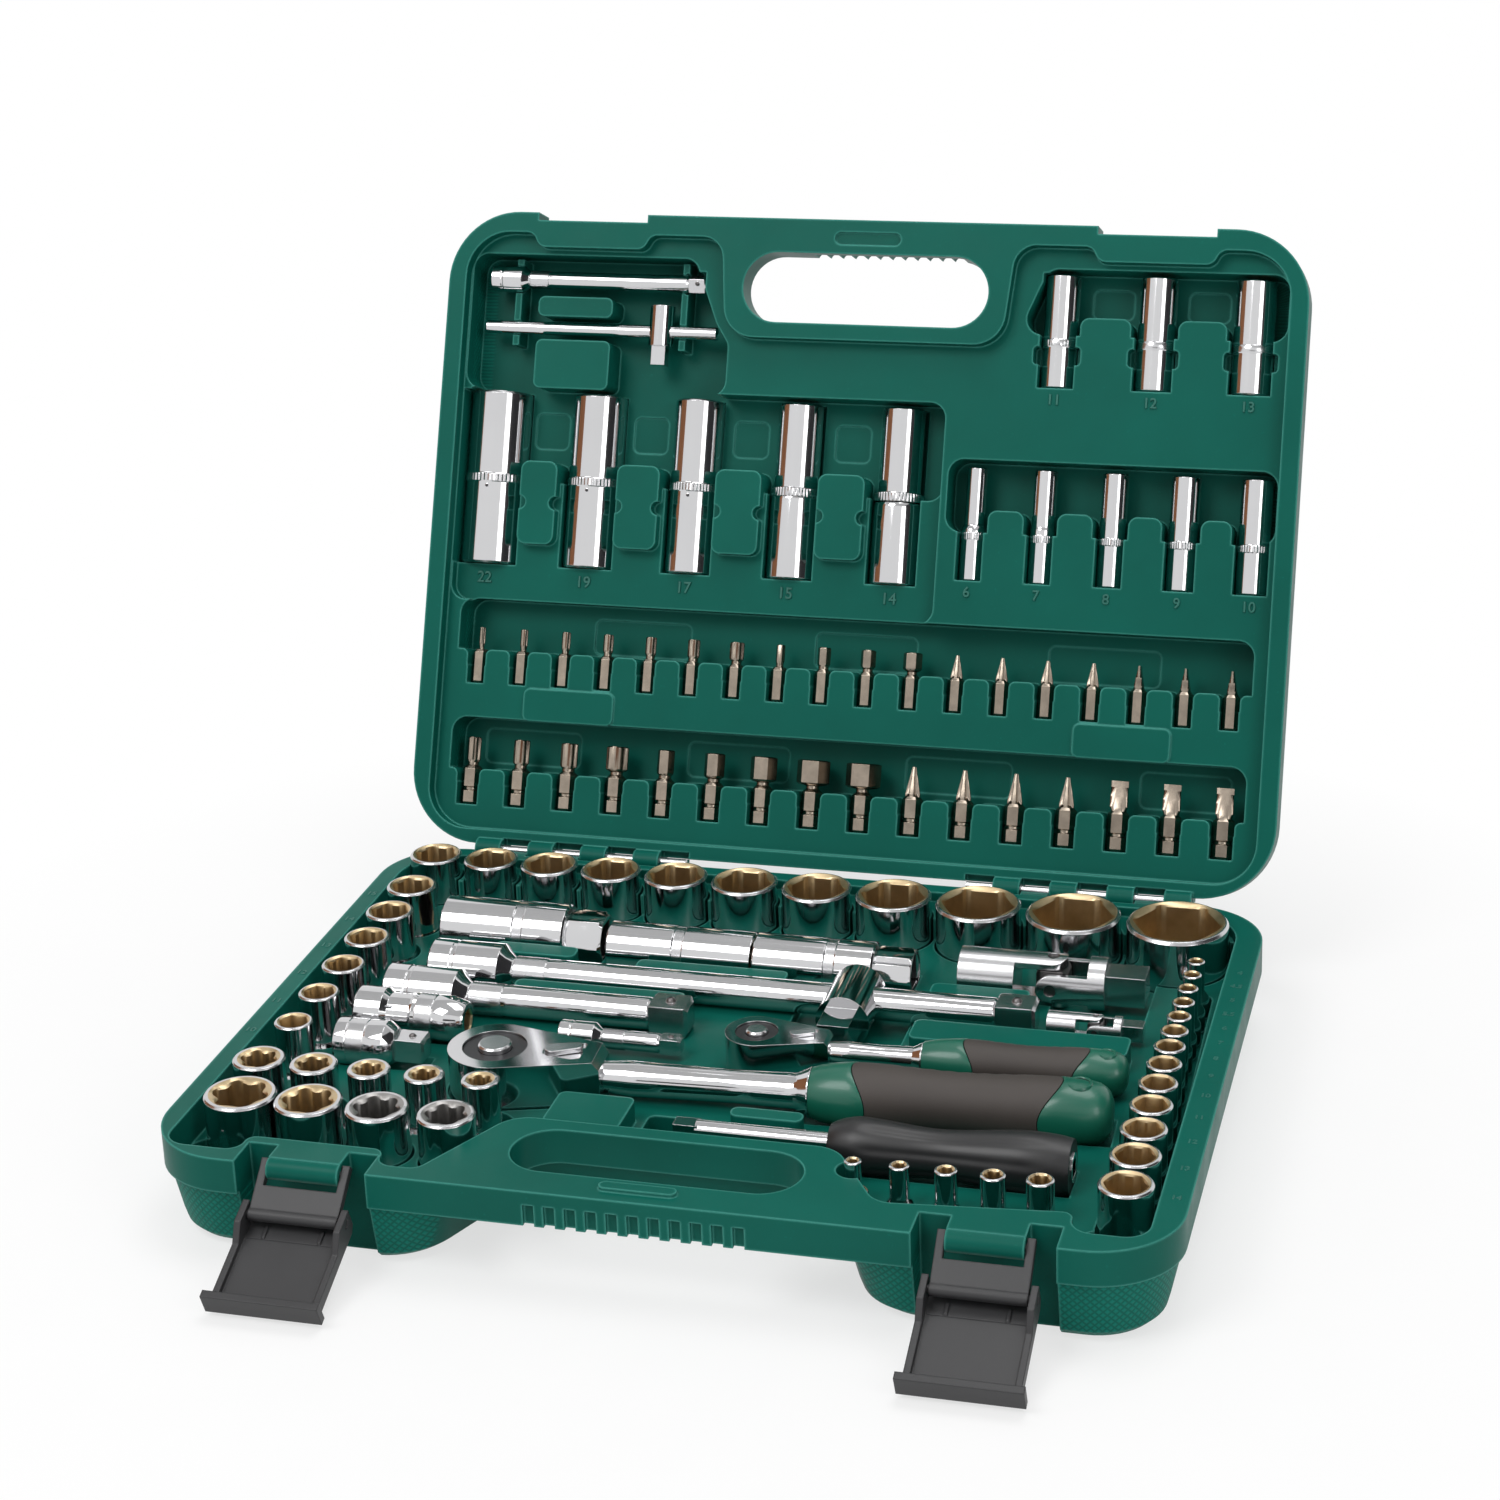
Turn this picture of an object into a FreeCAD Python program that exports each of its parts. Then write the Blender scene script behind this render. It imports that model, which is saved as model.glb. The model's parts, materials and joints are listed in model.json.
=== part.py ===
"""Socket wrench set in a moulded carrying case that stands open.

X runs along the hinge, Y from the carrying handle to the hinge, Z up, in millimetres.
The origin is the middle of the base's underside, and the case faces -Y.
Lid pieces are modelled with the lid shut, then swung open about the hinge with it.
"""
import FreeCAD
import Part
import math
import os

Vec = FreeCAD.Vector
ORIGIN = Vec(0, 0, 0)
X_AXIS = Vec(1, 0, 0)
Y_AXIS = Vec(0, 1, 0)
Z_AXIS = Vec(0, 0, 1)

# Case shells
CASE_WIDTH = 385.0
CASE_DEPTH = 284.0
CORNER_RADIUS = 32.0
BASE_HEIGHT = 40.0
LID_HEIGHT = 40.0
BAND_HEIGHT = 14.0
BAND_STEP = 2.0
WALL_DRAFT = 3.5
FOOT_RADIUS = 8.0
FOOT_BANDS = 3
LID_GAP = 0.3
LID_OPEN = 113.0

# Carrying handle, cut in both shells
SLOT_LENGTH = 110.0
SLOT_WIDTH = 31.0
HANDLE_BAR = 15.0
HANDLE_FRAME = 7.0
NOTCH_FRONT = 156.0
NOTCH_BACK = 118.0
NOTCH_DEPTH = 46.5
NOTCH_ROUND = 24.0
GRIP_GROOVES = 11
GROOVE_PITCH = 7.8
GROOVE_WIDTH = 4.2
GROOVE_DEPTH = 2.0
KEY_LENGTH = 29.0
KEY_WIDTH = 5.0
KEY_HEIGHT = 1.5
KEY_INSET = 8.2
SCALLOP_COUNT = 12
SCALLOP_PITCH = 5.6
SCALLOP_RADIUS = 2.8
SCALLOP_FIRST = -22.0

# Hinge
HINGE_SETBACK = 1.9
HINGE_INNER = 62.0
KNUCKLE_RADIUS = 4.4
KNUCKLE_PITCH = 12.2
KNUCKLE_GAP = 0.6
KNUCKLE_COUNT = 8
PIN_RADIUS = 1.8
PIN_FIT = 0.05
TURN_GAP = 0.4

# Latches
LATCH_CENTRE = 126.5
LATCH_RECESS_WIDTH = 51.0
LATCH_RECESS_DEPTH = 14.5
TONGUE_WIDTH = 28.0
TONGUE_RADIUS = 4.2
PIVOT_INSET = 5.5
PIVOT_DROP = 4.6
TRUNNION_RADIUS = 1.5
TRUNNION_FIT = 0.08
LINK_LENGTH = 18.0
LINK_ARM = 3.0
LINK_THICK = 3.0
LINK_EYE = 3.2
LINK_ROD = 2.4
LINK_OPEN = 48.0
LEVER_REACH = 38.5
LEVER_WALL = 2.5
LEVER_CLEAR = 0.7
LEVER_OFFSET = 4.8
LEVER_OPEN = 113.0
LIP_THICK = 3.0
LIP_OVERHANG = 1.9
LIP_HOOK = 1.5
CATCH_RECESS = 3.5
CATCH_GAP = 0.4
CATCH_GROOVE = 8.0

# Trays
RIM_LEFT = 8.0
RIM_RIGHT = 11.0
RIM_BACK = 7.0
RIM_FRONT = 8.0
LATCH_WALL = 4.5
DECK_DROP = 14.0
PAD_DROP = 5.0
PAD_ROUND = 3.0
POCKET_GAP = 0.8
SEAT = 0.3
LID_RIM_SIDE = 8.0
LID_RIM_HINGE = 6.5
LID_RIM_TOP = 9.0
LID_DECK = 7.0
BAY_DEPTH = 25.0
BAY_ROUND = 7.0
SOCKET_FLOOR = 13.0
NUMBER_BAND = 17.0
POST_GAP = 1.6
POST_ROUND = 4.0
POST_WAIST = 3.0
NOTCH_WALL = 6.0
LID_PADS = ((-145.0, -103.0, 56.0, 70.5), (103.0, 145.0, 56.0, 70.5))
LID_PAD_RISE = 1.3
BAY_WALL = 9.0
FLOOR_PANEL = 0.8
SMALL_PANELS = ((-119.5, -74.5), (-17.0, 29.0), (87.5, 136.5))
LARGE_PANELS = ((-167.5, -122.5), (-72.0, -25.5), (27.5, 74.5), (131.0, 170.0))

# Socket families: outside diameter = slope * size + base
HALF_DRIVE = 12.7
QUARTER_DRIVE = 6.35
DRIVE_FIT = 0.15
HALF_SLOPE, HALF_BASE = 1.22, 3.0
STAR_SLOPE, STAR_BASE = 0.93, 5.5
QUARTER_SLOPE, QUARTER_BASE = 1.33, 1.6
SMALL_STAR_SLOPE, SMALL_STAR_BASE = 0.95, 2.6
DEEP_SLOPE, DEEP_BASE = 1.1, 3.4
SMALL_DEEP_SLOPE, SMALL_DEEP_BASE = 1.25, 1.4
STAR_ACROSS = 0.92
STAR_VALLEY = 0.72
HALF_DRIVE_END = 22.0
QUARTER_DRIVE_END = 10.8
DRIVE_SHARE = 0.5
HALF_HEIGHT = 38.0
BIG_HEIGHT = 42.0
BIG_FROM = 27
QUARTER_HEIGHT = 25.0
DEEP_LENGTH = 78.0
SMALL_DEEP_LENGTH = 49.5
HALF_PROUD = 6.0
QUARTER_PROUD = 4.0

# Socket rows in the base
BACK_ROW = (16, 17, 18, 19, 20, 21, 22, 24, 27, 30, 32)
LEFT_COLUMN = (15, 14, 13, 12, 11, 10)
STAR_REAR = (16, 14, 12, 11, 10)
STAR_FRONT = (24, 22, 20, 18)
QUARTER_COLUMN = (4, 4.5, 5, 5.5, 6, 7, 8, 9, 10, 11, 12, 13, 14)
SMALL_STARS = (4, 5, 6, 7, 8)
BACK_MARGIN = 1.5
BACK_START = 21.6
BACK_GAP = 2.76
LEDGE_DROP = 4.5
LEDGE_WIDTH = 17.0
LEFT_INSET = 23.0
LEFT_START = 53.5
LEFT_PITCH = 26.2
STAR_REAR_FRONT = 67.5
STAR_REAR_PITCH = 22.6
STAR_ROW_STEP = 28.0
STAR_FRONT_INSET = 26.4
STAR_FRONT_PITCH = 27.5
QUARTER_INSET = 23.0
QUARTER_START = 60.7
QUARTER_GAP = 1.55
SMALL_STAR_X = 71.5
SMALL_STAR_PITCH = 17.0
SMALL_STAR_FRONT = 38.5

# Rows in the lid: distance from the hinge edge and depth behind the rim
DEEP_SIZES = (22, 19, 17, 15, 14)
DEEP_FIRST_X = -170.0
DEEP_PITCH = 46.8
DEEP_V = 126.0
DEEP_W = 20.5
TOP_SIZES = (11, 12, 13)
TOP_FIRST_X = 85.3
TOP_PITCH = 41.7
TOP_V = 214.5
MIDDLE_SIZES = (6, 7, 8, 9, 10)
MIDDLE_FIRST_X = 52.6
MIDDLE_PITCH = 30.4
MIDDLE_V = 129.5
SMALL_DEEP_W = 15.0
SMALL_BITS = ("star",) * 7 + ("hex",) * 4 + ("cross",) * 4 + ("slot",) * 3
LARGE_BITS = ("star",) * 4 + ("hex",) * 5 + ("cross",) * 4 + ("slot",) * 3
BIT_SPAN = 338.0
BIT_W = 13.0
SMALL_BIT_V = 71.8
LARGE_BIT_V = 17.2
SMALL_BIT_LENGTH = 25.0
LARGE_BIT_LENGTH = 30.0
SMALL_BIT_HEX = 6.35
LARGE_BIT_HEX = 8.0
# Tip widths along each row, as shares of the shank's hex
SMALL_TIPS = {"star": (0.45, 0.55, 0.65, 0.75, 0.8, 0.88, 1.05), "hex": (0.55, 0.8, 0.92, 1.15)}
LARGE_TIPS = {"star": (0.8, 0.95, 1.0, 1.3), "hex": (0.85, 1.0, 1.3, 1.6, 1.7)}
SMALL_SHANK = 15.0
LARGE_SHANK = 17.0

# Extension bars and sliding heads
HALF_END_RADIUS = 11.3
HALF_END_LENGTH = 31.0
HALF_SHANK_RADIUS = 6.6
HALF_SQUARE = 16.0
QUARTER_END_RADIUS = 6.0
QUARTER_END_LENGTH = 15.0
QUARTER_SHANK_RADIUS = 3.9
QUARTER_SQUARE = 8.5
LONG_BAR = 254.0
SHORT_BAR = 128.5
LID_BAR = 101.0
STUB_BAR = 50.0
SLIDER_RADIUS = 11.0
SLIDER_BACK = 11.5
SLIDER_FRONT = 19.0
SLIDER_FIT = 0.1
SLIDER_TRAVEL = 12.0
T_BAR_RADIUS = 3.0
T_BAR_LENGTH = 108.0
T_HEAD_RADIUS = 5.6
T_HEAD_BACK = 6.5
T_HEAD_FRONT = 11.5
T_HEAD_PLACE = 0.76


# Small modelling helpers

def box(x0, x1, y0, y1, z0, z1):
    return Part.makeBox(x1 - x0, y1 - y0, z1 - z0, Vec(x0, y0, z0))


def cylinder(radius, start, end):
    along = end - start
    return Part.makeCylinder(radius, along.Length, start, along)


def prism(points, z0, z1):
    wire = Part.makePolygon([Vec(x, y, z0) for x, y in points] + [Vec(points[0][0], points[0][1], z0)])
    return Part.Face(wire).extrude(Vec(0, 0, z1 - z0))


def polygon(count, radius, turn=0.0):
    return [(radius * math.cos(turn + 2 * math.pi * i / count),
             radius * math.sin(turn + 2 * math.pi * i / count)) for i in range(count)]


def hexagon(across_flats):
    return polygon(6, across_flats / math.sqrt(3))


def square(side):
    return polygon(4, side / math.sqrt(2), math.pi / 4)


def star(across):
    outer = polygon(6, across / 2)
    inner = polygon(6, STAR_VALLEY * across / 2, math.pi / 6)
    return [point for pair in zip(outer, inner) for point in pair]


def rounded_wire(corners, z):
    """Closed outline through (x, y, radius) corners, each rounded by an arc."""
    edges = []
    ends = []
    for i, (x, y, radius) in enumerate(corners):
        here = Vec(x, y, z)
        before = Vec(*corners[i - 1][:2], z) - here
        after = Vec(*corners[(i + 1) % len(corners)][:2], z) - here
        before.normalize()
        after.normalize()
        half = before.getAngle(after) / 2
        middle = before + after
        middle.normalize()
        centre = here + middle * (radius / math.sin(half))
        reach = radius / math.tan(half)
        ends.append((here + before * reach, centre - middle * radius, here + after * reach))
    for i, (first, top, last) in enumerate(ends):
        edges.append(Part.Arc(first, top, last).toShape())
        following = ends[(i + 1) % len(ends)][0]
        if (following - last).Length > 1e-6:
            edges.append(Part.LineSegment(last, following).toShape())
    return Part.Wire(edges)


def rounded_prism(corners, z0, z1):
    return Part.Face(rounded_wire(corners, z0)).extrude(Vec(0, 0, z1 - z0))


def rounded_box(x0, x1, y0, y1, radius, z0, z1):
    corners = [(x0, y0, radius), (x1, y0, radius), (x1, y1, radius), (x0, y1, radius)]
    return rounded_prism(corners, z0, z1)


def lathe(profile):
    """Solid of revolution about X from (x, radius) points; the outline closes along the axis."""
    points = [Vec(x, radius, 0) for x, radius in profile]
    points = [Vec(points[0].x, 0, 0)] + points + [Vec(points[-1].x, 0, 0)]
    trimmed = [points[0]]
    for point in points[1:]:
        if (point - trimmed[-1]).Length > 1e-6:
            trimmed.append(point)
    return Part.Face(Part.makePolygon(trimmed + [trimmed[0]])).revolve(ORIGIN, X_AXIS, 360)


def square_bar(side, x0, x1):
    """Square drive along X."""
    return box(x0, x1, -side / 2, side / 2, -side / 2, side / 2)


def moved(shape, x=0.0, y=0.0, z=0.0):
    copy = shape.copy()
    copy.translate(Vec(x, y, z))
    return copy


def turned(shape, angle, axis=Z_AXIS, centre=ORIGIN):
    copy = shape.copy()
    copy.rotate(centre, axis, angle)
    return copy


# Places worked out from the driving sizes
LEFT = -CASE_WIDTH / 2
RIGHT = CASE_WIDTH / 2
FRONT = -CASE_DEPTH / 2
BACK = CASE_DEPTH / 2
RIM = BASE_HEIGHT
DECK = BASE_HEIGHT - DECK_DROP
PAD = BASE_HEIGHT - PAD_DROP
LID_RIM = BASE_HEIGHT + LID_GAP
HINGE = Vec(0, BACK + HINGE_SETBACK, BASE_HEIGHT + LID_GAP / 2)
PIVOT = Vec(0, FRONT + PIVOT_INSET, BASE_HEIGHT - PIVOT_DROP)
SLOT_FRONT = FRONT + HANDLE_BAR
SLOT_BACK = SLOT_FRONT + SLOT_WIDTH
HALF_TOP = RIM + HALF_PROUD
QUARTER_TOP = RIM + QUARTER_PROUD


def lid_y(v):
    """Y of a point v from the hinge edge while the lid is shut."""
    return BACK - v


def lid_z(w):
    """Z of a point w behind the lid's rim while the lid is shut."""
    return LID_RIM + w


def swung_open(shape):
    return turned(shape, -LID_OPEN, X_AXIS, HINGE)


# Case shells

def shell_outline(inset):
    """Plan of a shell's wall, with the bay under the handle, drawn in by inset."""
    side = RIGHT - inset
    end = BACK - inset
    corner = CORNER_RADIUS - inset
    front_half = NOTCH_FRONT / 2 + inset
    back_half = NOTCH_BACK / 2 + inset
    bay = FRONT + NOTCH_DEPTH + inset
    return [(-side, -end, corner), (-front_half, -end, NOTCH_ROUND), (-back_half, bay, NOTCH_ROUND / 2),
            (back_half, bay, NOTCH_ROUND / 2), (front_half, -end, NOTCH_ROUND), (side, -end, corner),
            (side, end, corner), (-side, end, corner)]


def shell_blank(height):
    """Outside of a shell with its rim at the top: a smooth band over a drafted, textured foot."""
    shoulder = height - BAND_HEIGHT
    band = rounded_box(LEFT, RIGHT, FRONT, BACK, CORNER_RADIUS, shoulder, height)
    wires = []
    for i in range(FOOT_BANDS + 1):
        turn = math.pi / 2 * i / FOOT_BANDS
        inset = BAND_STEP + WALL_DRAFT + FOOT_RADIUS * (1 - math.sin(turn))
        wires.append(rounded_wire(shell_outline(inset), FOOT_RADIUS * (1 - math.cos(turn))))
    wires.append(rounded_wire(shell_outline(BAND_STEP), shoulder))
    return band.fuse(Part.makeLoft(wires, True, True))


def handle_slot(z0, z1):
    corners_radius = SLOT_WIDTH / 2 - 0.01
    return rounded_box(-SLOT_LENGTH / 2, SLOT_LENGTH / 2, SLOT_FRONT, SLOT_BACK, corners_radius, z0, z1)


def grip_grooves(z0, z1):
    """Upright finger grooves along the front of the handle bar."""
    first = -GROOVE_PITCH * (GRIP_GROOVES - 1) / 2
    grooves = []
    for i in range(GRIP_GROOVES):
        x = first + i * GROOVE_PITCH
        half = GROOVE_WIDTH / 2
        grooves.append(box(x - half, x + half, FRONT - 1, FRONT + GROOVE_DEPTH, z0, z1))
    return grooves


def scallops(z0, z1):
    """Finger scallops along the slot's front edge."""
    y = SLOT_FRONT + 0.3 * SCALLOP_RADIUS
    cuts = []
    for i in range(SCALLOP_COUNT):
        x = SCALLOP_FIRST + i * SCALLOP_PITCH
        cuts.append(cylinder(SCALLOP_RADIUS, Vec(x, y, z0), Vec(x, y, z1)))
    return cuts


def key_bar(z0, z1, grow=0.0):
    """Rounded key on the handle bar that lines the two rims up."""
    half = KEY_WIDTH / 2 + grow
    y = FRONT + KEY_INSET
    length = KEY_LENGTH / 2 + grow
    return rounded_box(-length, length, y - half, y + half, half - 0.01, z0, z1)


def knuckle_span(i, side):
    """X limits of knuckle i of the hinge on side -1 or 1."""
    start = HINGE_INNER + i * KNUCKLE_PITCH
    low, high = start + KNUCKLE_GAP / 2, start + KNUCKLE_PITCH - KNUCKLE_GAP / 2
    return (low, high) if side > 0 else (-high, -low)


def hinge_cylinder(radius, low, high):
    return cylinder(radius, Vec(low, HINGE.y, HINGE.z), Vec(high, HINGE.y, HINGE.z))


def hinge_cuts(first):
    """Room round the other shell's knuckles, and the pin holes."""
    cuts = []
    end = HINGE_INNER + KNUCKLE_COUNT * KNUCKLE_PITCH
    for side in (-1, 1):
        for i in range(first, KNUCKLE_COUNT, 2):
            low, high = knuckle_span(i, side)
            room = KNUCKLE_RADIUS + TURN_GAP
            cuts.append(box(low - KNUCKLE_GAP, high + KNUCKLE_GAP, HINGE.y - room, HINGE.y + room,
                            HINGE.z - room, HINGE.z + room))
        low, high = sorted((side * (HINGE_INNER - 1), side * (end + 1)))
        cuts.append(hinge_cylinder(PIN_RADIUS + PIN_FIT, low, high))
    return cuts


def base_knuckles():
    """Cradles that carry the pin from below and leave its top bare."""
    knuckles = []
    for side in (-1, 1):
        for i in range(0, KNUCKLE_COUNT, 2):
            low, high = knuckle_span(i, side)
            barrel = hinge_cylinder(KNUCKLE_RADIUS, low, high)
            web = box(low, high, BACK - 1, HINGE.y, RIM - 3 * KNUCKLE_RADIUS, RIM)
            open_top = box(low - 1, high + 1, BACK - 8, BACK + 12, HINGE.z, RIM + 12)
            knuckles.append(barrel.fuse(web).cut(open_top))
    return knuckles


def lid_knuckles():
    """Closed barrels on the lid, drawn with the lid shut."""
    knuckles = []
    for side in (-1, 1):
        for i in range(1, KNUCKLE_COUNT, 2):
            low, high = knuckle_span(i, side)
            barrel = hinge_cylinder(KNUCKLE_RADIUS, low, high)
            web = box(low, high, BACK - 1, HINGE.y, LID_RIM, LID_RIM + 2.5 * KNUCKLE_RADIUS)
            knuckles.append(barrel.fuse(web))
    return knuckles


# Sockets

def socket_blank(outside, drive_end, height):
    """Turned body, drive end down; on small sizes the drive end is wider than the nut end."""
    radius = outside / 2
    foot = max(outside, drive_end) / 2
    if foot - radius < 0.05:
        return cylinder(foot, ORIGIN, Vec(0, 0, height))
    neck = DRIVE_SHARE * height
    return cylinder(foot, ORIGIN, Vec(0, 0, neck)).fuse(cylinder(radius, ORIGIN, Vec(0, 0, height)))


def socket(outside, drive_end, drive, height, mouth, depth):
    """Socket standing on its drive end, with its mouth outline cut from the top."""
    hollow = prism(mouth, height - depth, height + 1)
    drive_hole = prism(square(drive + 2 * DRIVE_FIT), -1, height - depth + 0.1)
    return socket_blank(outside, drive_end, height).cut([hollow, drive_hole])


def half_height(size):
    return BIG_HEIGHT if size >= BIG_FROM else HALF_HEIGHT


def half_outside(size):
    return HALF_SLOPE * size + HALF_BASE


def star_outside(size):
    return STAR_SLOPE * size + STAR_BASE


def quarter_outside(size):
    return QUARTER_SLOPE * size + QUARTER_BASE


def small_star_outside(size):
    return SMALL_STAR_SLOPE * size + SMALL_STAR_BASE


def deep_outside(size):
    return DEEP_SLOPE * size + DEEP_BASE


def small_deep_outside(size):
    return SMALL_DEEP_SLOPE * size + SMALL_DEEP_BASE


def half_socket(size):
    height = half_height(size)
    return socket(half_outside(size), HALF_DRIVE_END, HALF_DRIVE, height, hexagon(size + 0.2), 0.58 * height)


def half_star_socket(size):
    mouth = star(STAR_ACROSS * size)
    return socket(star_outside(size), HALF_DRIVE_END, HALF_DRIVE, HALF_HEIGHT, mouth, 0.5 * HALF_HEIGHT)


def quarter_socket(size):
    mouth = hexagon(size + 0.1)
    return socket(quarter_outside(size), QUARTER_DRIVE_END, QUARTER_DRIVE, QUARTER_HEIGHT, mouth,
                  0.5 * QUARTER_HEIGHT)


def quarter_star_socket(size):
    mouth = star(STAR_ACROSS * size)
    return socket(small_star_outside(size), QUARTER_DRIVE_END, QUARTER_DRIVE, QUARTER_HEIGHT, mouth,
                  0.5 * QUARTER_HEIGHT)


def half_deep_socket(size):
    return socket(deep_outside(size), HALF_DRIVE_END, HALF_DRIVE, DEEP_LENGTH, hexagon(size + 0.2),
                  0.72 * DEEP_LENGTH)


def quarter_deep_socket(size):
    return socket(small_deep_outside(size), QUARTER_DRIVE_END, QUARTER_DRIVE, SMALL_DEEP_LENGTH,
                  hexagon(size + 0.1), 0.7 * SMALL_DEEP_LENGTH)


def back_row_places():
    """(size, x, y) of the row along the hinge; the sockets line up at the back."""
    places = []
    x = LEFT + BACK_START
    for i, size in enumerate(BACK_ROW):
        if i:
            x += (half_outside(BACK_ROW[i - 1]) + half_outside(size)) / 2 + BACK_GAP
        places.append((size, x, BACK - RIM_BACK - BACK_MARGIN - half_outside(size) / 2))
    return places


def left_column_places():
    first = BACK - LEFT_START
    return [(size, LEFT + LEFT_INSET, first - i * LEFT_PITCH) for i, size in enumerate(LEFT_COLUMN)]


def star_places():
    rear_y = FRONT + STAR_REAR_FRONT
    front_y = rear_y - STAR_ROW_STEP
    rear = [(size, LEFT + LEFT_INSET - 1 + i * STAR_REAR_PITCH, rear_y) for i, size in enumerate(STAR_REAR)]
    front = [(size, LEFT + STAR_FRONT_INSET + i * STAR_FRONT_PITCH, front_y)
             for i, size in enumerate(STAR_FRONT)]
    return rear + front


def quarter_places():
    """Column down the right side, spaced by the sockets' own widths."""
    places = []
    y = BACK - QUARTER_START
    widths = [max(quarter_outside(size), QUARTER_DRIVE_END) for size in QUARTER_COLUMN]
    for i, size in enumerate(QUARTER_COLUMN):
        if i:
            y -= (widths[i - 1] + widths[i]) / 2 + QUARTER_GAP
        places.append((size, RIGHT - QUARTER_INSET, y))
    return places


def small_star_places():
    return [(size, SMALL_STAR_X + i * SMALL_STAR_PITCH, FRONT + SMALL_STAR_FRONT)
            for i, size in enumerate(SMALL_STARS)]


def deep_places():
    return [(size, DEEP_FIRST_X + i * DEEP_PITCH, DEEP_V) for i, size in enumerate(DEEP_SIZES)]


def small_deep_places():
    top = [(size, TOP_FIRST_X + i * TOP_PITCH, TOP_V) for i, size in enumerate(TOP_SIZES)]
    middle = [(size, MIDDLE_FIRST_X + i * MIDDLE_PITCH, MIDDLE_V) for i, size in enumerate(MIDDLE_SIZES)]
    return top + middle


def standing(maker, places, top, height):
    """Sockets set upright in the base with their mouths at the given height."""
    return [moved(maker(size), x, y, top - height(size)) for size, x, y in places]


def laid_in_lid(shape, x, v, w):
    """A piece modelled upright, laid in the lid with its foot towards the hinge."""
    return swung_open(moved(turned(shape, 90, X_AXIS), x, lid_y(v), lid_z(w)))


# Bits

def plus(across, web):
    """Outline of a cross tip."""
    a, b = across / 2, web / 2
    return [(a, -b), (a, b), (b, b), (b, a), (-b, a), (-b, b),
            (-a, b), (-a, -b), (-b, -b), (-b, -a), (b, -a), (b, -b)]


def tip_wedge(width, low, high):
    """Wedge across X that thins towards its upper edge."""
    half = width / 2
    wedge = prism([(-half, low), (half, low), (0.16 * half, high), (-0.16 * half, high)], -half, half)
    return turned(turned(wedge, 90, X_AXIS), 90)


def bit(kind, width, shank_hex, shank, length, edge_on):
    """Hex shank with a star, hex, cross or slot tip pointing up."""
    body = prism(hexagon(shank_hex), 0, shank)
    if kind == "star":
        return body.fuse(prism(star(width * shank_hex), shank, length))
    if kind == "hex":
        return body.fuse(prism(hexagon(width * shank_hex), shank, length))
    if kind == "cross":
        cross = prism(plus(shank_hex, 0.24 * shank_hex), shank, length)
        wedge = tip_wedge(shank_hex, shank, length)
        return body.fuse(cross.common(wedge).common(turned(wedge, 90)))
    blade = tip_wedge(shank_hex, shank, length)
    return body.fuse(turned(blade, 90) if edge_on else blade)


def bit_places(kinds):
    pitch = BIT_SPAN / (len(kinds) - 1)
    return [(kind, -BIT_SPAN / 2 + i * pitch) for i, kind in enumerate(kinds)]


def bit_group(kinds, wanted, tips, v, shank_hex, shank, length):
    """Bits of one kind in a row; the small slot bits lie edge on."""
    group = []
    for kind, x in bit_places(kinds):
        if kind == wanted:
            width = tips[kind][len(group)] if kind in tips else 1.0
            shape = bit(kind, width, shank_hex, shank, length, tips is SMALL_TIPS)
            group.append(laid_in_lid(shape, x, v, BIT_W))
    return group


# Extension bars, sliding heads and adapters, along X from their socket end

def extension(length, end_radius, end_length, shank_radius, drive, drive_length):
    shoulder = (end_radius - shank_radius) * 0.8
    collar = length - drive_length
    profile = [(0, end_radius), (end_length, end_radius), (end_length + shoulder, shank_radius),
               (collar, shank_radius)]
    bar = lathe(profile).fuse(square_bar(drive, collar - 0.5, length))
    return bar.cut(square_bar(drive + 2 * DRIVE_FIT, -1, drive_length))


def slider(radius, back, front, hole, drive, drive_length):
    """Sliding head across the bar: its barrel lies along Y and its square points to -Y."""
    barrel = cylinder(radius, Vec(0, back, 0), Vec(0, -front, 0))
    tip = box(-drive / 2, drive / 2, -front - drive_length, -front + 1, -drive / 2, drive / 2)
    bore = cylinder(hole, Vec(-radius - 1, 0, 0), Vec(radius + 1, 0, 0))
    return barrel.fuse(tip).cut(bore)


PLUG_SIZES = ((21.0, 13.5, 71.0, True), (16.0, 11.0, 63.0, False), (18.0, 11.5, 67.0, True))


def plug_socket(size, radius, length, hex_end):
    """Spark plug socket, nut end first; some have a spanner hex round the drive end."""
    hex_length = 16.0 if hex_end else 0.0
    body = cylinder(radius, ORIGIN, Vec(length - hex_length, 0, 0))
    if hex_end:
        nut = turned(prism(hexagon(1.5 * radius), length - hex_length - 1, length), 90, Y_AXIS)
        body = body.fuse(nut)
    mouth = turned(prism(hexagon(size), -1, 0.7 * length), 90, Y_AXIS)
    return body.cut([mouth, square_bar(HALF_DRIVE + 2 * DRIVE_FIT, 0.6 * length, length + 1)])


BIT_HOLDER_LENGTH = 46.0
BIT_HOLDER_RADIUS = 8.6
ADAPTER_LENGTH = 37.0
ADAPTER_RADIUS = 9.5
ADAPTER_SQUARE = 9.5
ADAPTER_SQUARE_LENGTH = 12.5


def bit_holder():
    """Half inch socket end, a waist, and a hex mouth for the large bits."""
    radius = BIT_HOLDER_RADIUS
    length = BIT_HOLDER_LENGTH
    profile = [(0, 1.22 * radius), (0.26 * length, 1.22 * radius), (0.3 * length, radius),
               (0.52 * length, radius),
               (0.54 * length, 1.1 * radius), (0.86 * length, 1.1 * radius), (length, 0.85 * radius)]
    mouth = turned(prism(hexagon(LARGE_BIT_HEX + DRIVE_FIT), 0.6 * length, length + 1), 90, Y_AXIS)
    return lathe(profile).cut([mouth, square_bar(HALF_DRIVE + 2 * DRIVE_FIT, -1, HALF_SQUARE)])


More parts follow.
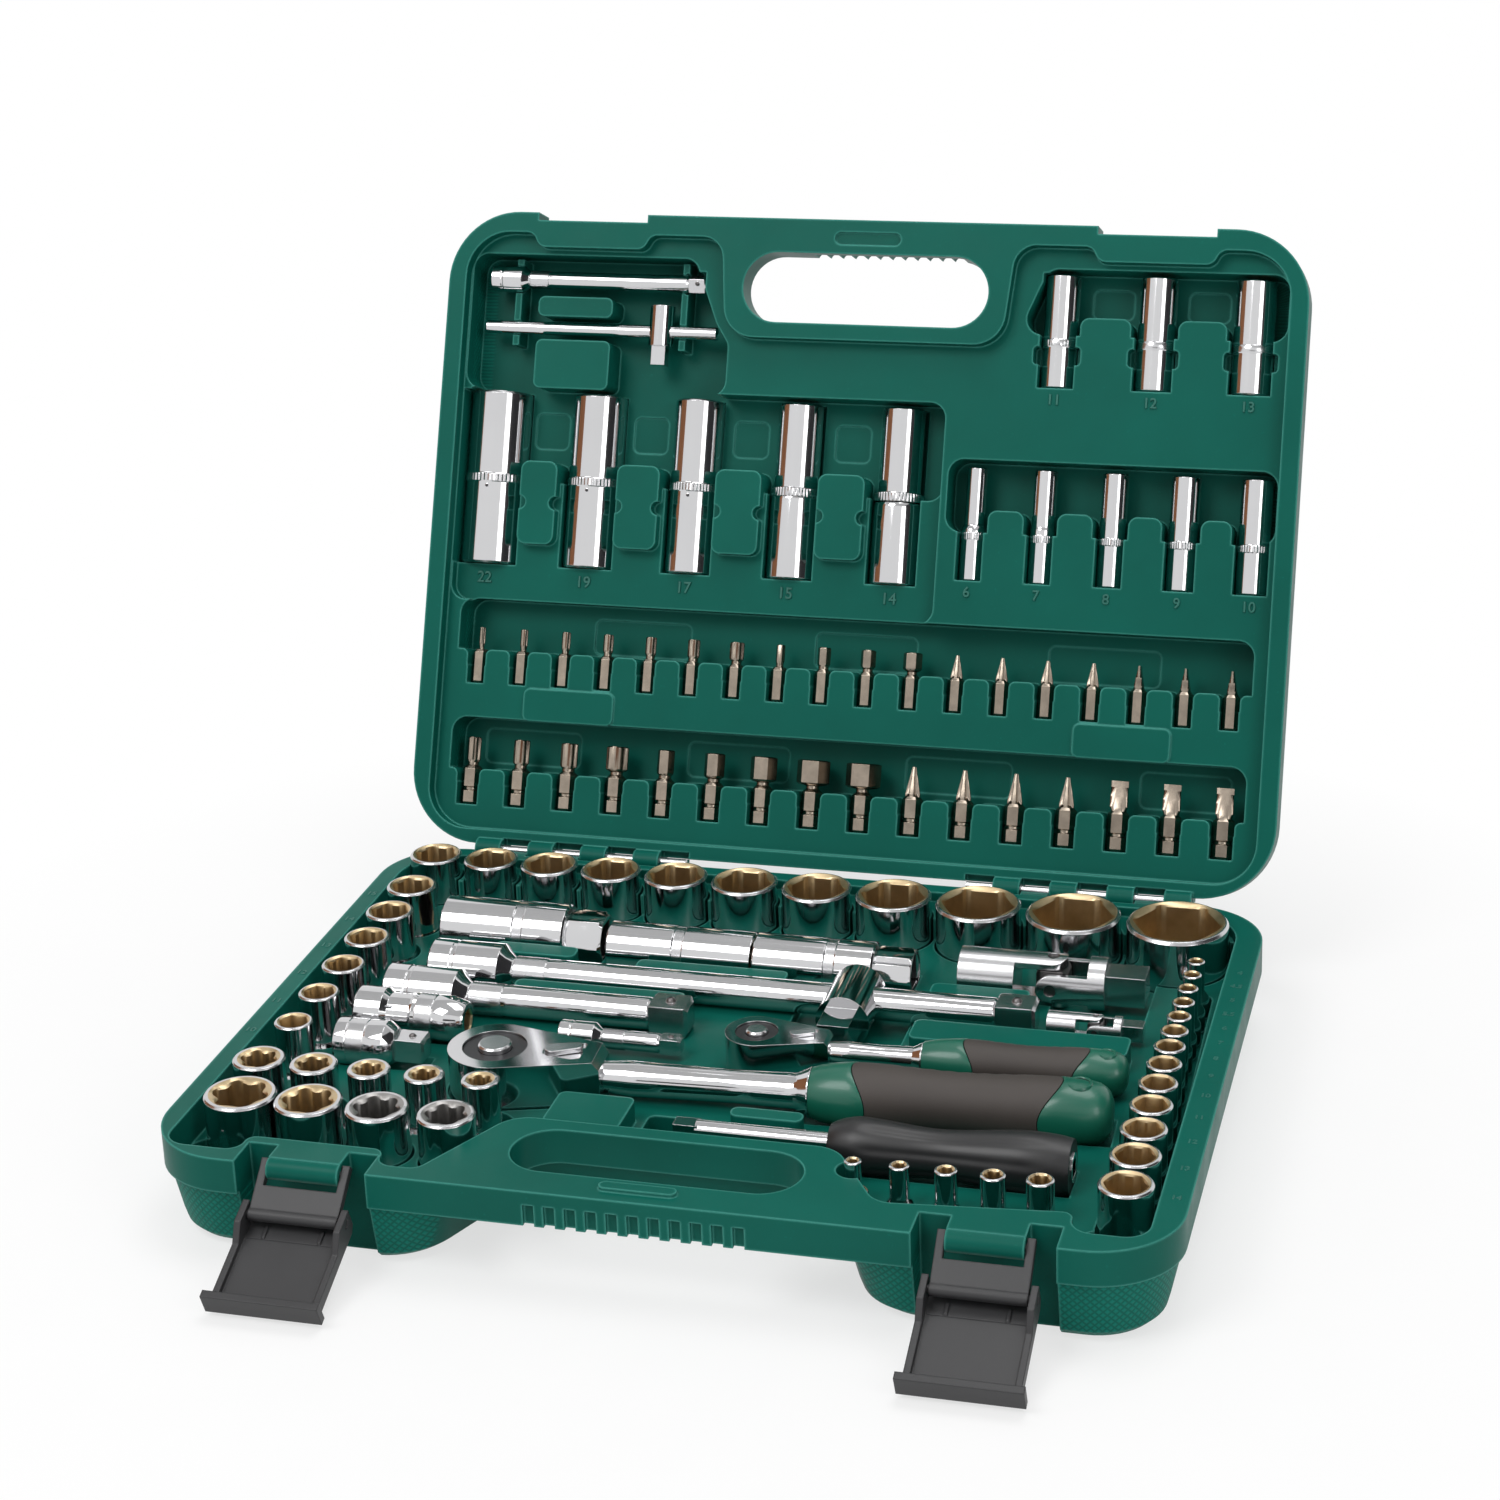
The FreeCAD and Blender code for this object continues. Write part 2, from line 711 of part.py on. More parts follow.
def drive_adapter():
    collar = ADAPTER_LENGTH - ADAPTER_SQUARE_LENGTH
    profile = [(0, ADAPTER_RADIUS), (0.85 * collar, ADAPTER_RADIUS), (collar, 0.72 * ADAPTER_RADIUS)]
    body = lathe(profile).fuse(square_bar(ADAPTER_SQUARE, collar - 1, ADAPTER_LENGTH))
    return body.cut(square_bar(HALF_DRIVE + 2 * DRIVE_FIT, -1, HALF_SQUARE))


# Universal joints, pivot at the local origin, socket fork towards -X
JOINT_BEND = 40.0
JOINT_SWAY = 18.0
PRONG_FIT = 0.3


def joint_sizes(scale):
    return {"radius": 11.0 * scale, "body": 15.0 * scale, "length": 38.0 * scale, "prong": 4.2 * scale,
            "eye": 5.9 * scale, "pin": 2.4 * scale}


def joint_fork(sizes, axis):
    """Fork with two prongs whose eyes sit on the axis, and a round body behind them."""
    radius, body, prong, eye = (sizes[key] for key in ("radius", "body", "prong", "eye"))
    inner = radius - prong
    barrel = cylinder(radius, Vec(-sizes["length"], 0, 0), Vec(-body, 0, 0))
    envelope = cylinder(radius, Vec(-body - 1, 0, 0), Vec(eye, 0, 0))
    prongs = []
    for side in (-1, 1):
        start, end = sorted((side * inner, side * (radius + 1)))
        plate = box(-body - 1, 0, -eye, eye, start, end).fuse(cylinder(eye, Vec(0, 0, start), Vec(0, 0, end)))
        prongs.append(plate.common(envelope))
    fork = barrel.fuse(prongs)
    hole = cylinder(sizes["pin"] + PIN_FIT, Vec(0, 0, -radius - 1), Vec(0, 0, radius + 1))
    fork = fork.cut(hole)
    return fork if axis == "z" else turned(fork, 90, X_AXIS)


def joint_cross(sizes):
    """Centre block with its four pin ends."""
    half = sizes["radius"] - sizes["prong"] - PRONG_FIT
    reach = 0.93 * math.sqrt(sizes["radius"] ** 2 - sizes["pin"] ** 2)
    block = box(-half, half, -half, half, -half, half)
    corner = 0.86 * half * math.sqrt(2)
    block = block.common(cylinder(corner, Vec(0, 0, -half - 1), Vec(0, 0, half + 1)))
    block = block.common(cylinder(corner, Vec(0, -half - 1, 0), Vec(0, half + 1, 0)))
    return block.fuse([cylinder(sizes["pin"], Vec(0, 0, -reach), Vec(0, 0, reach)),
                       cylinder(sizes["pin"], Vec(0, -reach, 0), Vec(0, reach, 0))])


def joint_pieces(sizes, drive, drive_length):
    socket_fork = joint_fork(sizes, "z").cut(square_bar(drive + 2 * DRIVE_FIT, -sizes["length"] - 1,
                                                        -sizes["length"] + drive_length))
    drive_fork = turned(joint_fork(sizes, "y"), 180)
    neck = sizes["length"] - drive_length
    collar = cylinder(sizes["radius"] * 2, Vec(neck, 0, 0), Vec(sizes["length"] + 1, 0, 0))
    drive_fork = drive_fork.cut(collar).fuse(square_bar(drive, neck - 1, sizes["length"]))
    return socket_fork, joint_cross(sizes), drive_fork


# Ratchets, head centre at the local origin, handle along +X, button up
HALF_RATCHET = {"head": 18.5, "thick": 10.0, "neck": 7.0, "ferrule": 119.0, "grip": 125.0, "sleeve": 144.0,
                "sleeve_end": 219.0, "end": 239.5, "grip_radius": 13.0, "hole": 227.0, "hole_radius": 3.8,
                "gear": 12.6, "button": 6.6, "drive": HALF_DRIVE, "drive_length": 16.0, "lever_x": 24.0}
QUARTER_RATCHET = {"head": 12.5, "thick": 6.6, "neck": 4.6, "ferrule": 62.0, "grip": 66.0, "sleeve": 84.0,
                   "sleeve_end": 129.0, "end": 145.0, "grip_radius": 9.3, "hole": 137.0, "hole_radius": 2.6,
                   "gear": 8.4, "button": 4.3, "drive": QUARTER_DRIVE, "drive_length": 8.5, "lever_x": 16.0}
GEAR_FIT = 0.08
BUTTON_TRAVEL = 1.6
LEVER_TURN = 20.0
LEVER_WIDE = 0.22
LEVER_TAIL = 0.58
SLEEVE_DEPTH = 2.2
TANG = 0.62


def pear_prism(r, grow, z0, z1):
    """Plan of the head: a round that runs into the neck, made larger by grow."""
    round_radius = r["head"] + grow
    reach = 2.35 * r["head"]
    wide = 1.12 * r["neck"] + grow
    angle = math.acos((round_radius - wide) / reach)
    tangent = Vec(round_radius * math.cos(angle), round_radius * math.sin(angle), z0)
    tip = Vec(reach + grow, wide, z0)
    mirror = [Vec(point.x, -point.y, point.z) for point in (tangent, tip)]
    arc = Part.Arc(tangent, Vec(-round_radius, 0, z0), mirror[0])
    lines = [Part.LineSegment(mirror[0], mirror[1]), Part.LineSegment(mirror[1], tip),
             Part.LineSegment(tip, tangent)]
    wire = Part.Wire([arc.toShape()] + [line.toShape() for line in lines])
    return Part.Face(wire).extrude(Vec(0, 0, z1 - z0))


def ratchet_head(r):
    """Pear-shaped head, thinned towards the neck."""
    reach = 2.35 * r["head"]
    head = pear_prism(r, 0.0, -r["thick"], r["thick"])
    slope = [(1.45 * r["head"], 3 * r["thick"]), (reach + 1, 0.72 * r["neck"]), (reach + 1, 3 * r["thick"])]
    bevels = []
    for side in (-1, 1):
        wedge = turned(prism(slope, -2 * r["head"], 2 * r["head"]), 90 * side, X_AXIS)
        bevels.append(wedge)
    return head.cut(bevels)


def ratchet_body(r):
    """Head, neck, flared ferrule and the tang inside the grip."""
    reach = 2.35 * r["head"]
    neck = r["neck"]
    tang_end = r["grip"] + 0.6 * (r["sleeve_end"] - r["grip"])
    profile = [(reach - 0.3 * r["head"], 0.8 * neck), (reach + 0.6 * r["head"], neck),
               (0.8 * r["ferrule"], 0.92 * neck), (r["ferrule"], neck), (r["grip"] - 0.5, 1.4 * neck),
               (r["grip"], 1.4 * neck), (r["grip"], TANG * neck),
               (tang_end, TANG * neck)]
    body = ratchet_head(r).fuse(lathe(profile))
    bore = cylinder(r["gear"] + GEAR_FIT, Vec(0, 0, -r["thick"] - 1), Vec(0, 0, r["thick"] + 1))
    seat = cylinder(0.17 * r["head"] + GEAR_FIT, Vec(r["lever_x"], 0, 0.55 * r["thick"]),
                    Vec(r["lever_x"], 0, r["thick"] + 1))
    recess = selector_recess(r)
    return body.cut([bore, seat, recess])


def selector_recess(r):
    """Fan-shaped recess that the selector turns in."""
    x = r["lever_x"]
    wide = LEVER_WIDE * r["head"] + SEAT
    tail = LEVER_TAIL * r["head"]
    spread = tail * math.sin(math.radians(LEVER_TURN)) + 0.8 * wide
    end = x + tail + 2 * SEAT
    corners = [(x - wide, -wide, 0.9 * wide), (end, -spread, 1.0), (end, spread, 1.0),
               (x - wide, wide, 0.9 * wide)]
    return rounded_prism(corners, 0.9 * r["thick"], r["thick"] + 1)


def ratchet_selector(r):
    foot = Vec(r["lever_x"], 0, 0.6 * r["thick"])
    stem = cylinder(0.17 * r["head"], foot, Vec(r["lever_x"], 0, r["thick"]))
    wide = LEVER_WIDE * r["head"] - SEAT
    tail = LEVER_TAIL * r["head"]
    x = r["lever_x"]
    corners = [(x - wide, -wide, 0.9 * wide), (x + tail, -0.6 * wide, 0.4 * wide),
               (x + tail, 0.6 * wide, 0.4 * wide),
               (x - wide, wide, 0.9 * wide)]
    blade = rounded_prism(corners, 0.93 * r["thick"], 1.12 * r["thick"])
    return blade.fuse(stem)


def ratchet_drive(r):
    """Gear disc that turns in the head, with the square drive below and a well for the button."""
    floor = -r["thick"]
    disc = cylinder(r["gear"], Vec(0, 0, floor), Vec(0, 0, 0.45 * r["thick"]))
    side = r["drive"]
    tip = box(-side / 2, side / 2, -side / 2, side / 2, floor - r["drive_length"], floor + 0.5)
    well = cylinder(r["button"] + 2 * GEAR_FIT, Vec(0, 0, 0.45 * r["thick"] - BUTTON_TRAVEL - SEAT),
                    Vec(0, 0, r["thick"]))
    return disc.fuse(tip).cut(well)


def ratchet_cover(r):
    """Dark ring plate that closes the head round the button."""
    low, high = 0.45 * r["thick"] + SEAT, 0.9 * r["thick"]
    ring = cylinder(r["gear"] - 0.05, Vec(0, 0, low), Vec(0, 0, high))
    return ring.cut(cylinder(r["button"] + 2 * GEAR_FIT, Vec(0, 0, low - 1), Vec(0, 0, high + 1)))


def ratchet_button(r):
    low = 0.45 * r["thick"]
    high = 1.15 * r["thick"]
    profile = [(low, r["button"]), (high - 0.7, r["button"]), (high, r["button"] - 0.7)]
    return turned(lathe(profile), -90, Y_AXIS)


def grip_form(r):
    """Outside of the handle: it swells from the ferrule, narrows in the middle and ends in a round knob."""
    full = r["grip_radius"]
    middle = (r["sleeve"] + r["sleeve_end"]) / 2
    return lathe([(r["grip"] + SEAT / 3, 0.76 * full), (r["sleeve"], full), (middle, 0.92 * full),
                  (r["sleeve_end"], full), (r["end"] - 0.4 * full, 0.9 * full), (r["end"], 0.5 * full)])


def ratchet_grip(r):
    """Handle core: collar, waist under the sleeve, and the rounded end with its hanging hole."""
    inner = cylinder(r["grip_radius"] - SLEEVE_DEPTH, Vec(r["sleeve"], 0, 0), Vec(r["sleeve_end"], 0, 0))
    groove = cylinder(2 * r["grip_radius"], Vec(r["sleeve"], 0, 0), Vec(r["sleeve_end"], 0, 0)).cut(inner)
    tang_end = r["grip"] + 0.6 * (r["sleeve_end"] - r["grip"]) + SEAT
    tang = cylinder(TANG * r["neck"] + PIN_FIT, Vec(r["grip"] - 1, 0, 0), Vec(tang_end, 0, 0))
    reach = 2 * r["grip_radius"]
    hole = cylinder(r["hole_radius"], Vec(r["hole"], 0, -reach), Vec(r["hole"], 0, reach))
    return grip_form(r).cut([groove, tang, hole])


def ratchet_sleeve(r):
    """Soft sleeve moulded round the core between collar and end."""
    start = Vec(r["sleeve"] + PIN_FIT, 0, 0)
    span = cylinder(2 * r["grip_radius"], start, Vec(r["sleeve_end"] - PIN_FIT, 0, 0))
    core = cylinder(r["grip_radius"] - SLEEVE_DEPTH + PIN_FIT, Vec(r["sleeve"] - 1, 0, 0),
                    Vec(r["sleeve_end"] + 1, 0, 0))
    return grip_form(r).common(span).cut(core)


RATCHET_MAKERS = {"body": ratchet_body, "cover": ratchet_cover, "drive": ratchet_drive,
                  "button": ratchet_button, "selector": ratchet_selector,
                  "grip": ratchet_grip, "sleeve": ratchet_sleeve}

# Spinner handle, grip along X from its shaft end
SPINNER_GRIP = 90.0
SPINNER_SHAFT = 60.0
SPINNER_SHAFT_RADIUS = 4.0
SPINNER_TANG = 40.0
SPINNER_FORM = ((0.0, 8.5), (0.12, 11.2), (0.45, 9.4), (0.82, 12.0), (1.0, 10.6))
SPINNER_INSERT_RADIUS = 5.6
SPINNER_INSERT_LENGTH = 16.0


def spinner_grip():
    grip = lathe([(share * SPINNER_GRIP, radius) for share, radius in SPINNER_FORM])
    tang = cylinder(SPINNER_SHAFT_RADIUS + PIN_FIT, Vec(-1, 0, 0), Vec(SPINNER_TANG + SEAT, 0, 0))
    insert = cylinder(SPINNER_INSERT_RADIUS + PIN_FIT, Vec(SPINNER_GRIP - SPINNER_INSERT_LENGTH, 0, 0),
                      Vec(SPINNER_GRIP + 1, 0, 0))
    return grip.cut([tang, insert])


def spinner_shaft():
    bar = cylinder(SPINNER_SHAFT_RADIUS, Vec(-SPINNER_SHAFT + QUARTER_SQUARE, 0, 0), Vec(SPINNER_TANG, 0, 0))
    return bar.fuse(square_bar(QUARTER_DRIVE, -SPINNER_SHAFT, -SPINNER_SHAFT + QUARTER_SQUARE + 1))


def spinner_insert():
    start = SPINNER_GRIP - SPINNER_INSERT_LENGTH + SEAT
    ring = cylinder(SPINNER_INSERT_RADIUS, Vec(start, 0, 0), Vec(SPINNER_GRIP + 0.6, 0, 0))
    return ring.cut(square_bar(QUARTER_DRIVE + 2 * DRIVE_FIT, start + 4, SPINNER_GRIP + 1))


# Where the loose tools lie in the base: X of the left end, Y, and axis height
LONG_BAR_PLACE = (-142.0, 41.0, DECK + HALF_SHANK_RADIUS + SEAT)
SHORT_BAR_PLACE = (-152.0, 15.0, DECK + HALF_SHANK_RADIUS + SEAT)
STUB_BAR_PLACE = (-70.5, -8.0, DECK + QUARTER_END_RADIUS + SEAT)
SLIDER_X = 37.0
PLUG_PLACES = ((-150.0, 80.0, 32.0), (-75.0, 74.0, 32.0), (-11.4, 73.0, 32.0))
HALF_JOINT_PLACE = (113.0, 73.5, 34.0)
QUARTER_JOINT_PLACE = (136.0, 38.0, DECK + 6.0 + SEAT)
QUARTER_JOINT_SCALE = 0.5
BIT_HOLDER_PLACE = (-156.0, -7.0, 34.0)
ADAPTER_PLACE = (-155.0, -32.0, 33.5)
HALF_RATCHET_PLACE = (-85.0, -44.0, 34.0)
HALF_RATCHET_TURN = 2.4
QUARTER_RATCHET_PLACE = (10.5, -9.0, DECK + 9.3 + SEAT)
QUARTER_RATCHET_TURN = 1.6
SPINNER_PLACE = (56.0, -74.0, 33.0)
LID_BAR_PLACE = (-175.5, 255.5, 13.0)
T_BAR_PLACE = (-177.0, 233.5, 13.0)

# Raised pads between the tools: x0, x1, y0, y1
PADS = ((-122, -86, 55, 64), (-58, 6, 50, 58.5), (66, 106, 50, 60), (-102, -30, 24.5, 31.5),
        (66, 152, 11, 27), (-54, -24, -82, -58), (14, 42, -64, -57))
# Deep finger wells: x0, x1, y0, y1, floor height
WELLS = ((-20, 10, -70, -54, 12.0),)


def tray_outline():
    """Inner wall of the base: it steps round the latches and the handle."""
    left, right = LEFT + RIM_LEFT, RIGHT - RIM_RIGHT
    back = BACK - RIM_BACK
    front = FRONT + RIM_FRONT
    latch = FRONT + LATCH_RECESS_DEPTH + LATCH_WALL
    latch_far = LATCH_CENTRE + LATCH_RECESS_WIDTH / 2 + 2
    latch_near = LATCH_CENTRE - LATCH_RECESS_WIDTH / 2 - 1
    boss = SLOT_BACK + HANDLE_FRAME
    boss_half = SLOT_LENGTH / 2 + HANDLE_FRAME
    notch = NOTCH_FRONT / 2 + NOTCH_WALL
    return [(left, back, 24), (left, front, 18), (-latch_far, front, 6), (-latch_far, latch, 4),
            (-latch_near, latch, 5), (-latch_near, front, 6), (-notch, front, 6), (-boss_half, boss, 14),
            (boss_half, boss, 14), (notch, latch - 1, 10), (latch_far, latch + 6, 4),
            (latch_far, front + 4, 8), (right, front + 4, 14), (right, back, 24)]


def latch_places():
    return (-LATCH_CENTRE, LATCH_CENTRE)


def latch_recess(x):
    half = LATCH_RECESS_WIDTH / 2
    return box(x - half, x + half, FRONT - 1, FRONT + LATCH_RECESS_DEPTH, -1, RIM + 1)


def latch_tongue(x):
    """Hinge tongue for the link, with a bore in each end for its trunnions."""
    half = TONGUE_WIDTH / 2
    back = FRONT + LATCH_RECESS_DEPTH + 0.5
    block = box(x - half, x + half, PIVOT.y, back, PIVOT.z - TONGUE_RADIUS, RIM)
    barrel = cylinder(TONGUE_RADIUS, Vec(x - half, PIVOT.y, PIVOT.z), Vec(x + half, PIVOT.y, PIVOT.z))
    bore = cylinder(TRUNNION_RADIUS + TRUNNION_FIT, Vec(x - half - 1, PIVOT.y, PIVOT.z),
                    Vec(x + half + 1, PIVOT.y, PIVOT.z))
    return block.fuse(barrel).cut(bore)


def socket_pockets():
    """Round pockets under every upright socket."""
    pockets = []
    half_places = back_row_places() + left_column_places()
    families = ((half_places, half_outside, HALF_DRIVE_END, HALF_TOP, half_height),
                (star_places(), star_outside, HALF_DRIVE_END, HALF_TOP, lambda size: HALF_HEIGHT),
                (small_star_places(), small_star_outside, QUARTER_DRIVE_END, QUARTER_TOP,
                 lambda size: QUARTER_HEIGHT))
    for places, outside, drive_end, top, height in families:
        for size, x, y in places:
            radius = max(outside(size), drive_end) / 2 + POCKET_GAP
            pockets.append(cylinder(radius, Vec(x, y, top - height(size)), Vec(x, y, RIM + 1)))
    return pockets + [quarter_trough()]


def quarter_trough():
    """One trough for the column of small sockets, as wide at each end as the socket that stands there."""
    places = quarter_places()
    corners = []
    for (size, x, y), end in ((places[0], 1), (places[-1], -1)):
        half = max(quarter_outside(size), QUARTER_DRIVE_END) / 2 + POCKET_GAP
        reach = end * half
        corners += [(x - reach, y + reach, 0.8 * half), (x + reach, y + reach, 0.8 * half)]
    return rounded_prism(corners, QUARTER_TOP - QUARTER_HEIGHT, RIM + 1)


def bed(radius, place, x0, x1):
    """Round-bottomed bed for a tool that lies along X."""
    x, y, z = place
    return cylinder(radius + SEAT, Vec(x + x0 - SEAT, y, z), Vec(x + x1 + SEAT, y, z))


def ratchet_bed(r, place, turn):
    """Beds for a ratchet's grip and head, and the well its square hangs in."""
    grip = cylinder(r["grip_radius"] + SEAT, Vec(r["ferrule"], 0, 0), Vec(r["end"] + SEAT, 0, 0))
    head = pear_prism(r, 1.0, -r["thick"] - SEAT, r["thick"])
    well_radius = r["drive"] / math.sqrt(2) + 1
    well = cylinder(well_radius, Vec(0, 0, -r["thick"] - r["drive_length"] - 1), Vec(0, 0, 0))
    x, y, z = place
    return [moved(turned(shape, turn), x, y, z) for shape in (grip, head, well)]


def tool_beds():
    x, y, z = LONG_BAR_PLACE
    low = z - SLIDER_RADIUS - SEAT
    reach = SLIDER_RADIUS + SLIDER_TRAVEL + 1
    slider_room = box(SLIDER_X - reach, SLIDER_X + reach, y - SLIDER_FRONT - HALF_SQUARE - 1,
                      y + SLIDER_BACK + 1, low, RIM)
    beds = [bed(HALF_END_RADIUS, LONG_BAR_PLACE, 0, HALF_END_LENGTH + 4), slider_room,
            bed(HALF_END_RADIUS, SHORT_BAR_PLACE, 0, HALF_END_LENGTH + 4)]
    for (size, radius, length, hex_end), place in zip(PLUG_SIZES, PLUG_PLACES):
        beds.append(bed(radius, place, 0, length))
    beds.append(bed(1.22 * BIT_HOLDER_RADIUS, BIT_HOLDER_PLACE, 0, BIT_HOLDER_LENGTH))
    beds.append(bed(ADAPTER_RADIUS, ADAPTER_PLACE, 0, ADAPTER_LENGTH))
    beds.append(bed(max(radius for share, radius in SPINNER_FORM), SPINNER_PLACE, 0, SPINNER_GRIP))
    beds += ratchet_bed(HALF_RATCHET, HALF_RATCHET_PLACE, HALF_RATCHET_TURN)
    beds += ratchet_bed(QUARTER_RATCHET, QUARTER_RATCHET_PLACE, QUARTER_RATCHET_TURN)
    beds += joint_room()
    return beds


def joint_room():
    """Bed for the large universal joint, widened where its drive fork sways."""
    sizes = joint_sizes(1.0)
    x, y, z = HALF_JOINT_PLACE
    still = cylinder(sizes["radius"] + SEAT, Vec(x - sizes["length"] - SEAT, y, z), Vec(x, y, z))
    reach = sizes["length"] + 1
    spread = sizes["radius"] + 1 + reach * math.tan(math.radians(JOINT_SWAY))
    fan = prism([(0, -sizes["radius"] - 1), (reach, -spread), (reach, spread), (0, sizes["radius"] + 1)],
                -sizes["radius"] - SEAT, RIM - z)
    return [still, moved(fan, x, y, z)]


def case_base():
    shell = shell_blank(BASE_HEIGHT)
    tray = rounded_prism(tray_outline(), DECK, RIM + 1)
    shell = shell.cut([tray, handle_slot(-1, RIM + 1)] + grip_grooves(-1, RIM - 0.4 * BAND_HEIGHT)
                      + [latch_recess(x) for x in latch_places()])
    ledge = box(LEFT + RIM_LEFT, RIGHT - RIM_RIGHT, BACK - RIM_BACK - LEDGE_WIDTH, BACK - RIM_BACK,
                DECK - 1, RIM - LEDGE_DROP)
    raised = [rounded_box(x0, x1, y0, y1, PAD_ROUND, DECK - 1, PAD) for x0, x1, y0, y1 in PADS]
    tongues = [latch_tongue(x) for x in latch_places()]
    inside = shell_blank(BASE_HEIGHT)
    shell = shell.fuse([ledge.common(inside)] + raised + tongues + [key_bar(RIM - 1, RIM + KEY_HEIGHT)])
    wells = [rounded_box(x0, x1, y0, y1, PAD_ROUND, floor, RIM) for x0, x1, y0, y1, floor in WELLS]
    shell = shell.cut(socket_pockets() + tool_beds() + corner_wells() + wells)
    knuckles = base_knuckles()
    return shell.cut(hinge_cuts(1)).fuse(knuckles).cut(hinge_cuts(KNUCKLE_COUNT)).removeSplitter()


def corner_wells():
    """Empty pocket in the left front corner, and finger room before the last small socket."""
    front = FRONT + RIM_FRONT
    left = LEFT + RIM_LEFT
    right = RIGHT - RIM_RIGHT
    inner = LATCH_CENTRE + LATCH_RECESS_WIDTH / 2 + 2
    return [rounded_box(left, -inner, front, front + 30, 9, 10, RIM + 1),
            rounded_box(inner, right, front + 4, front + 30, 9, 14, RIM + 1)]


def lid_deck_outline():
    side = RIGHT - LID_RIM_SIDE
    hinge_side = lid_y(LID_RIM_HINGE)
    top = FRONT + LID_RIM_TOP
    latch = FRONT + LATCH_RECESS_DEPTH + 1
    latch_far = LATCH_CENTRE + LATCH_RECESS_WIDTH / 2 + 2
    latch_near = LATCH_CENTRE - LATCH_RECESS_WIDTH / 2 - 2
    boss = SLOT_BACK + HANDLE_FRAME
    boss_half = SLOT_LENGTH / 2 + HANDLE_FRAME
    right_side = [(boss_half, boss, 14), (boss_half + 4, top, 10), (latch_near, top, 5),
                  (latch_near + 3, latch, 5), (latch_far - 3, latch, 5), (latch_far, top, 5),
                  (side, top, 20), (side, hinge_side, 18)]
    return right_side + [(-x, y, radius) for x, y, radius in reversed(right_side)]


def bay(x0, x1, v0, v1, w=BAY_DEPTH):
    return rounded_box(x0, x1, lid_y(v1), lid_y(v0), BAY_ROUND, lid_z(0) - 1, lid_z(w))


def deep_row_right():
    return DEEP_FIRST_X + (len(DEEP_SIZES) - 0.55) * DEEP_PITCH


def notch_edge(v):
    """Half width that the handle notch and the wall beside it take at v."""
    share = (v - CASE_DEPTH + NOTCH_DEPTH) / NOTCH_DEPTH
    return NOTCH_BACK / 2 + share * (NOTCH_FRONT - NOTCH_BACK) / 2 + BAY_WALL


def corner_bays(left, right, low, top):
    """Bays in the two upper corners, with a side that slants along the handle notch."""
    boss = SLOT_LENGTH / 2 + HANDLE_FRAME
    beside = CASE_DEPTH - NOTCH_DEPTH
    row = TOP_V + 0.46 * SMALL_DEEP_LENGTH
    left_corners = [(left, top), (-notch_edge(top), top), (-notch_edge(beside), beside), (-boss, beside - 9),
                    (-boss, low), (left, low)]
    right_corners = [(notch_edge(top), top), (right, top), (right, row), (notch_edge(row), row)]
    return [rounded_prism([(x, lid_y(v), BAY_ROUND) for x, v in corners], lid_z(0) - 1, lid_z(BAY_DEPTH))
            for corners in (left_corners, right_corners)]


def bit_bay_half():
    return BIT_SPAN / 2 + 9


def lid_bays():
    """Deep bays over which nut ends and bit tips stand free, and the floor under the large deep sockets."""
    left = LEFT + LID_RIM_SIDE + 1
    side = RIGHT - LID_RIM_SIDE - 1
    right = deep_row_right()
    top = CASE_DEPTH - LID_RIM_TOP - 9
    over_sockets = DEEP_V + DEEP_LENGTH + 1
    half = bit_bay_half()
    small_top = SMALL_BIT_V + SMALL_BIT_LENGTH + 13
    large_top = LARGE_BIT_V + LARGE_BIT_LENGTH + 9
    bays = corner_bays(left, side, over_sockets, top)
    bays.append(bay(left, right, DEEP_V - NUMBER_BAND, over_sockets, SOCKET_FLOOR))
    bays.append(bay(left, right, DEEP_V + 0.48 * DEEP_LENGTH, over_sockets + 1))
    bays.append(bay(right + 3, side, MIDDLE_V + 0.42 * SMALL_DEEP_LENGTH, MIDDLE_V + SMALL_DEEP_LENGTH + 3))
    bays.append(bay(-half, half, SMALL_BIT_V + 0.3 * SMALL_BIT_LENGTH, small_top))
    bays.append(bay(-half, half, LARGE_BIT_V + 0.3 * LARGE_BIT_LENGTH, large_top))
    return bays


def floor_panels():
    """Shallow round-cornered panels sunk in the floors of the bays."""
    spans = [(x0, x1, SMALL_BIT_V + 0.65 * SMALL_BIT_LENGTH, SMALL_BIT_V + 1.28 * SMALL_BIT_LENGTH)
             for x0, x1 in SMALL_PANELS]
    spans += [(x0, x1, LARGE_BIT_V + 0.63 * LARGE_BIT_LENGTH, LARGE_BIT_V + 1.15 * LARGE_BIT_LENGTH)
              for x0, x1 in LARGE_PANELS]
    for i in range(len(DEEP_SIZES) - 1):
        x = DEEP_FIRST_X + (i + 0.5) * DEEP_PITCH
        spans.append((x - 8, x + 8, DEEP_V + 0.69 * DEEP_LENGTH, DEEP_V + 0.9 * DEEP_LENGTH))
    for i in range(len(TOP_SIZES) - 1):
        x = TOP_FIRST_X + (i + 0.5) * TOP_PITCH
        spans.append((x - 9, x + 9, TOP_V + 0.66 * SMALL_DEEP_LENGTH, TOP_V + 0.92 * SMALL_DEEP_LENGTH))
    z0, z1 = lid_z(BAY_DEPTH - 1), lid_z(BAY_DEPTH + FLOOR_PANEL)
    return [rounded_box(x0, x1, lid_y(v1), lid_y(v0), PAD_ROUND, z0, z1) for x0, x1, v0, v1 in spans]


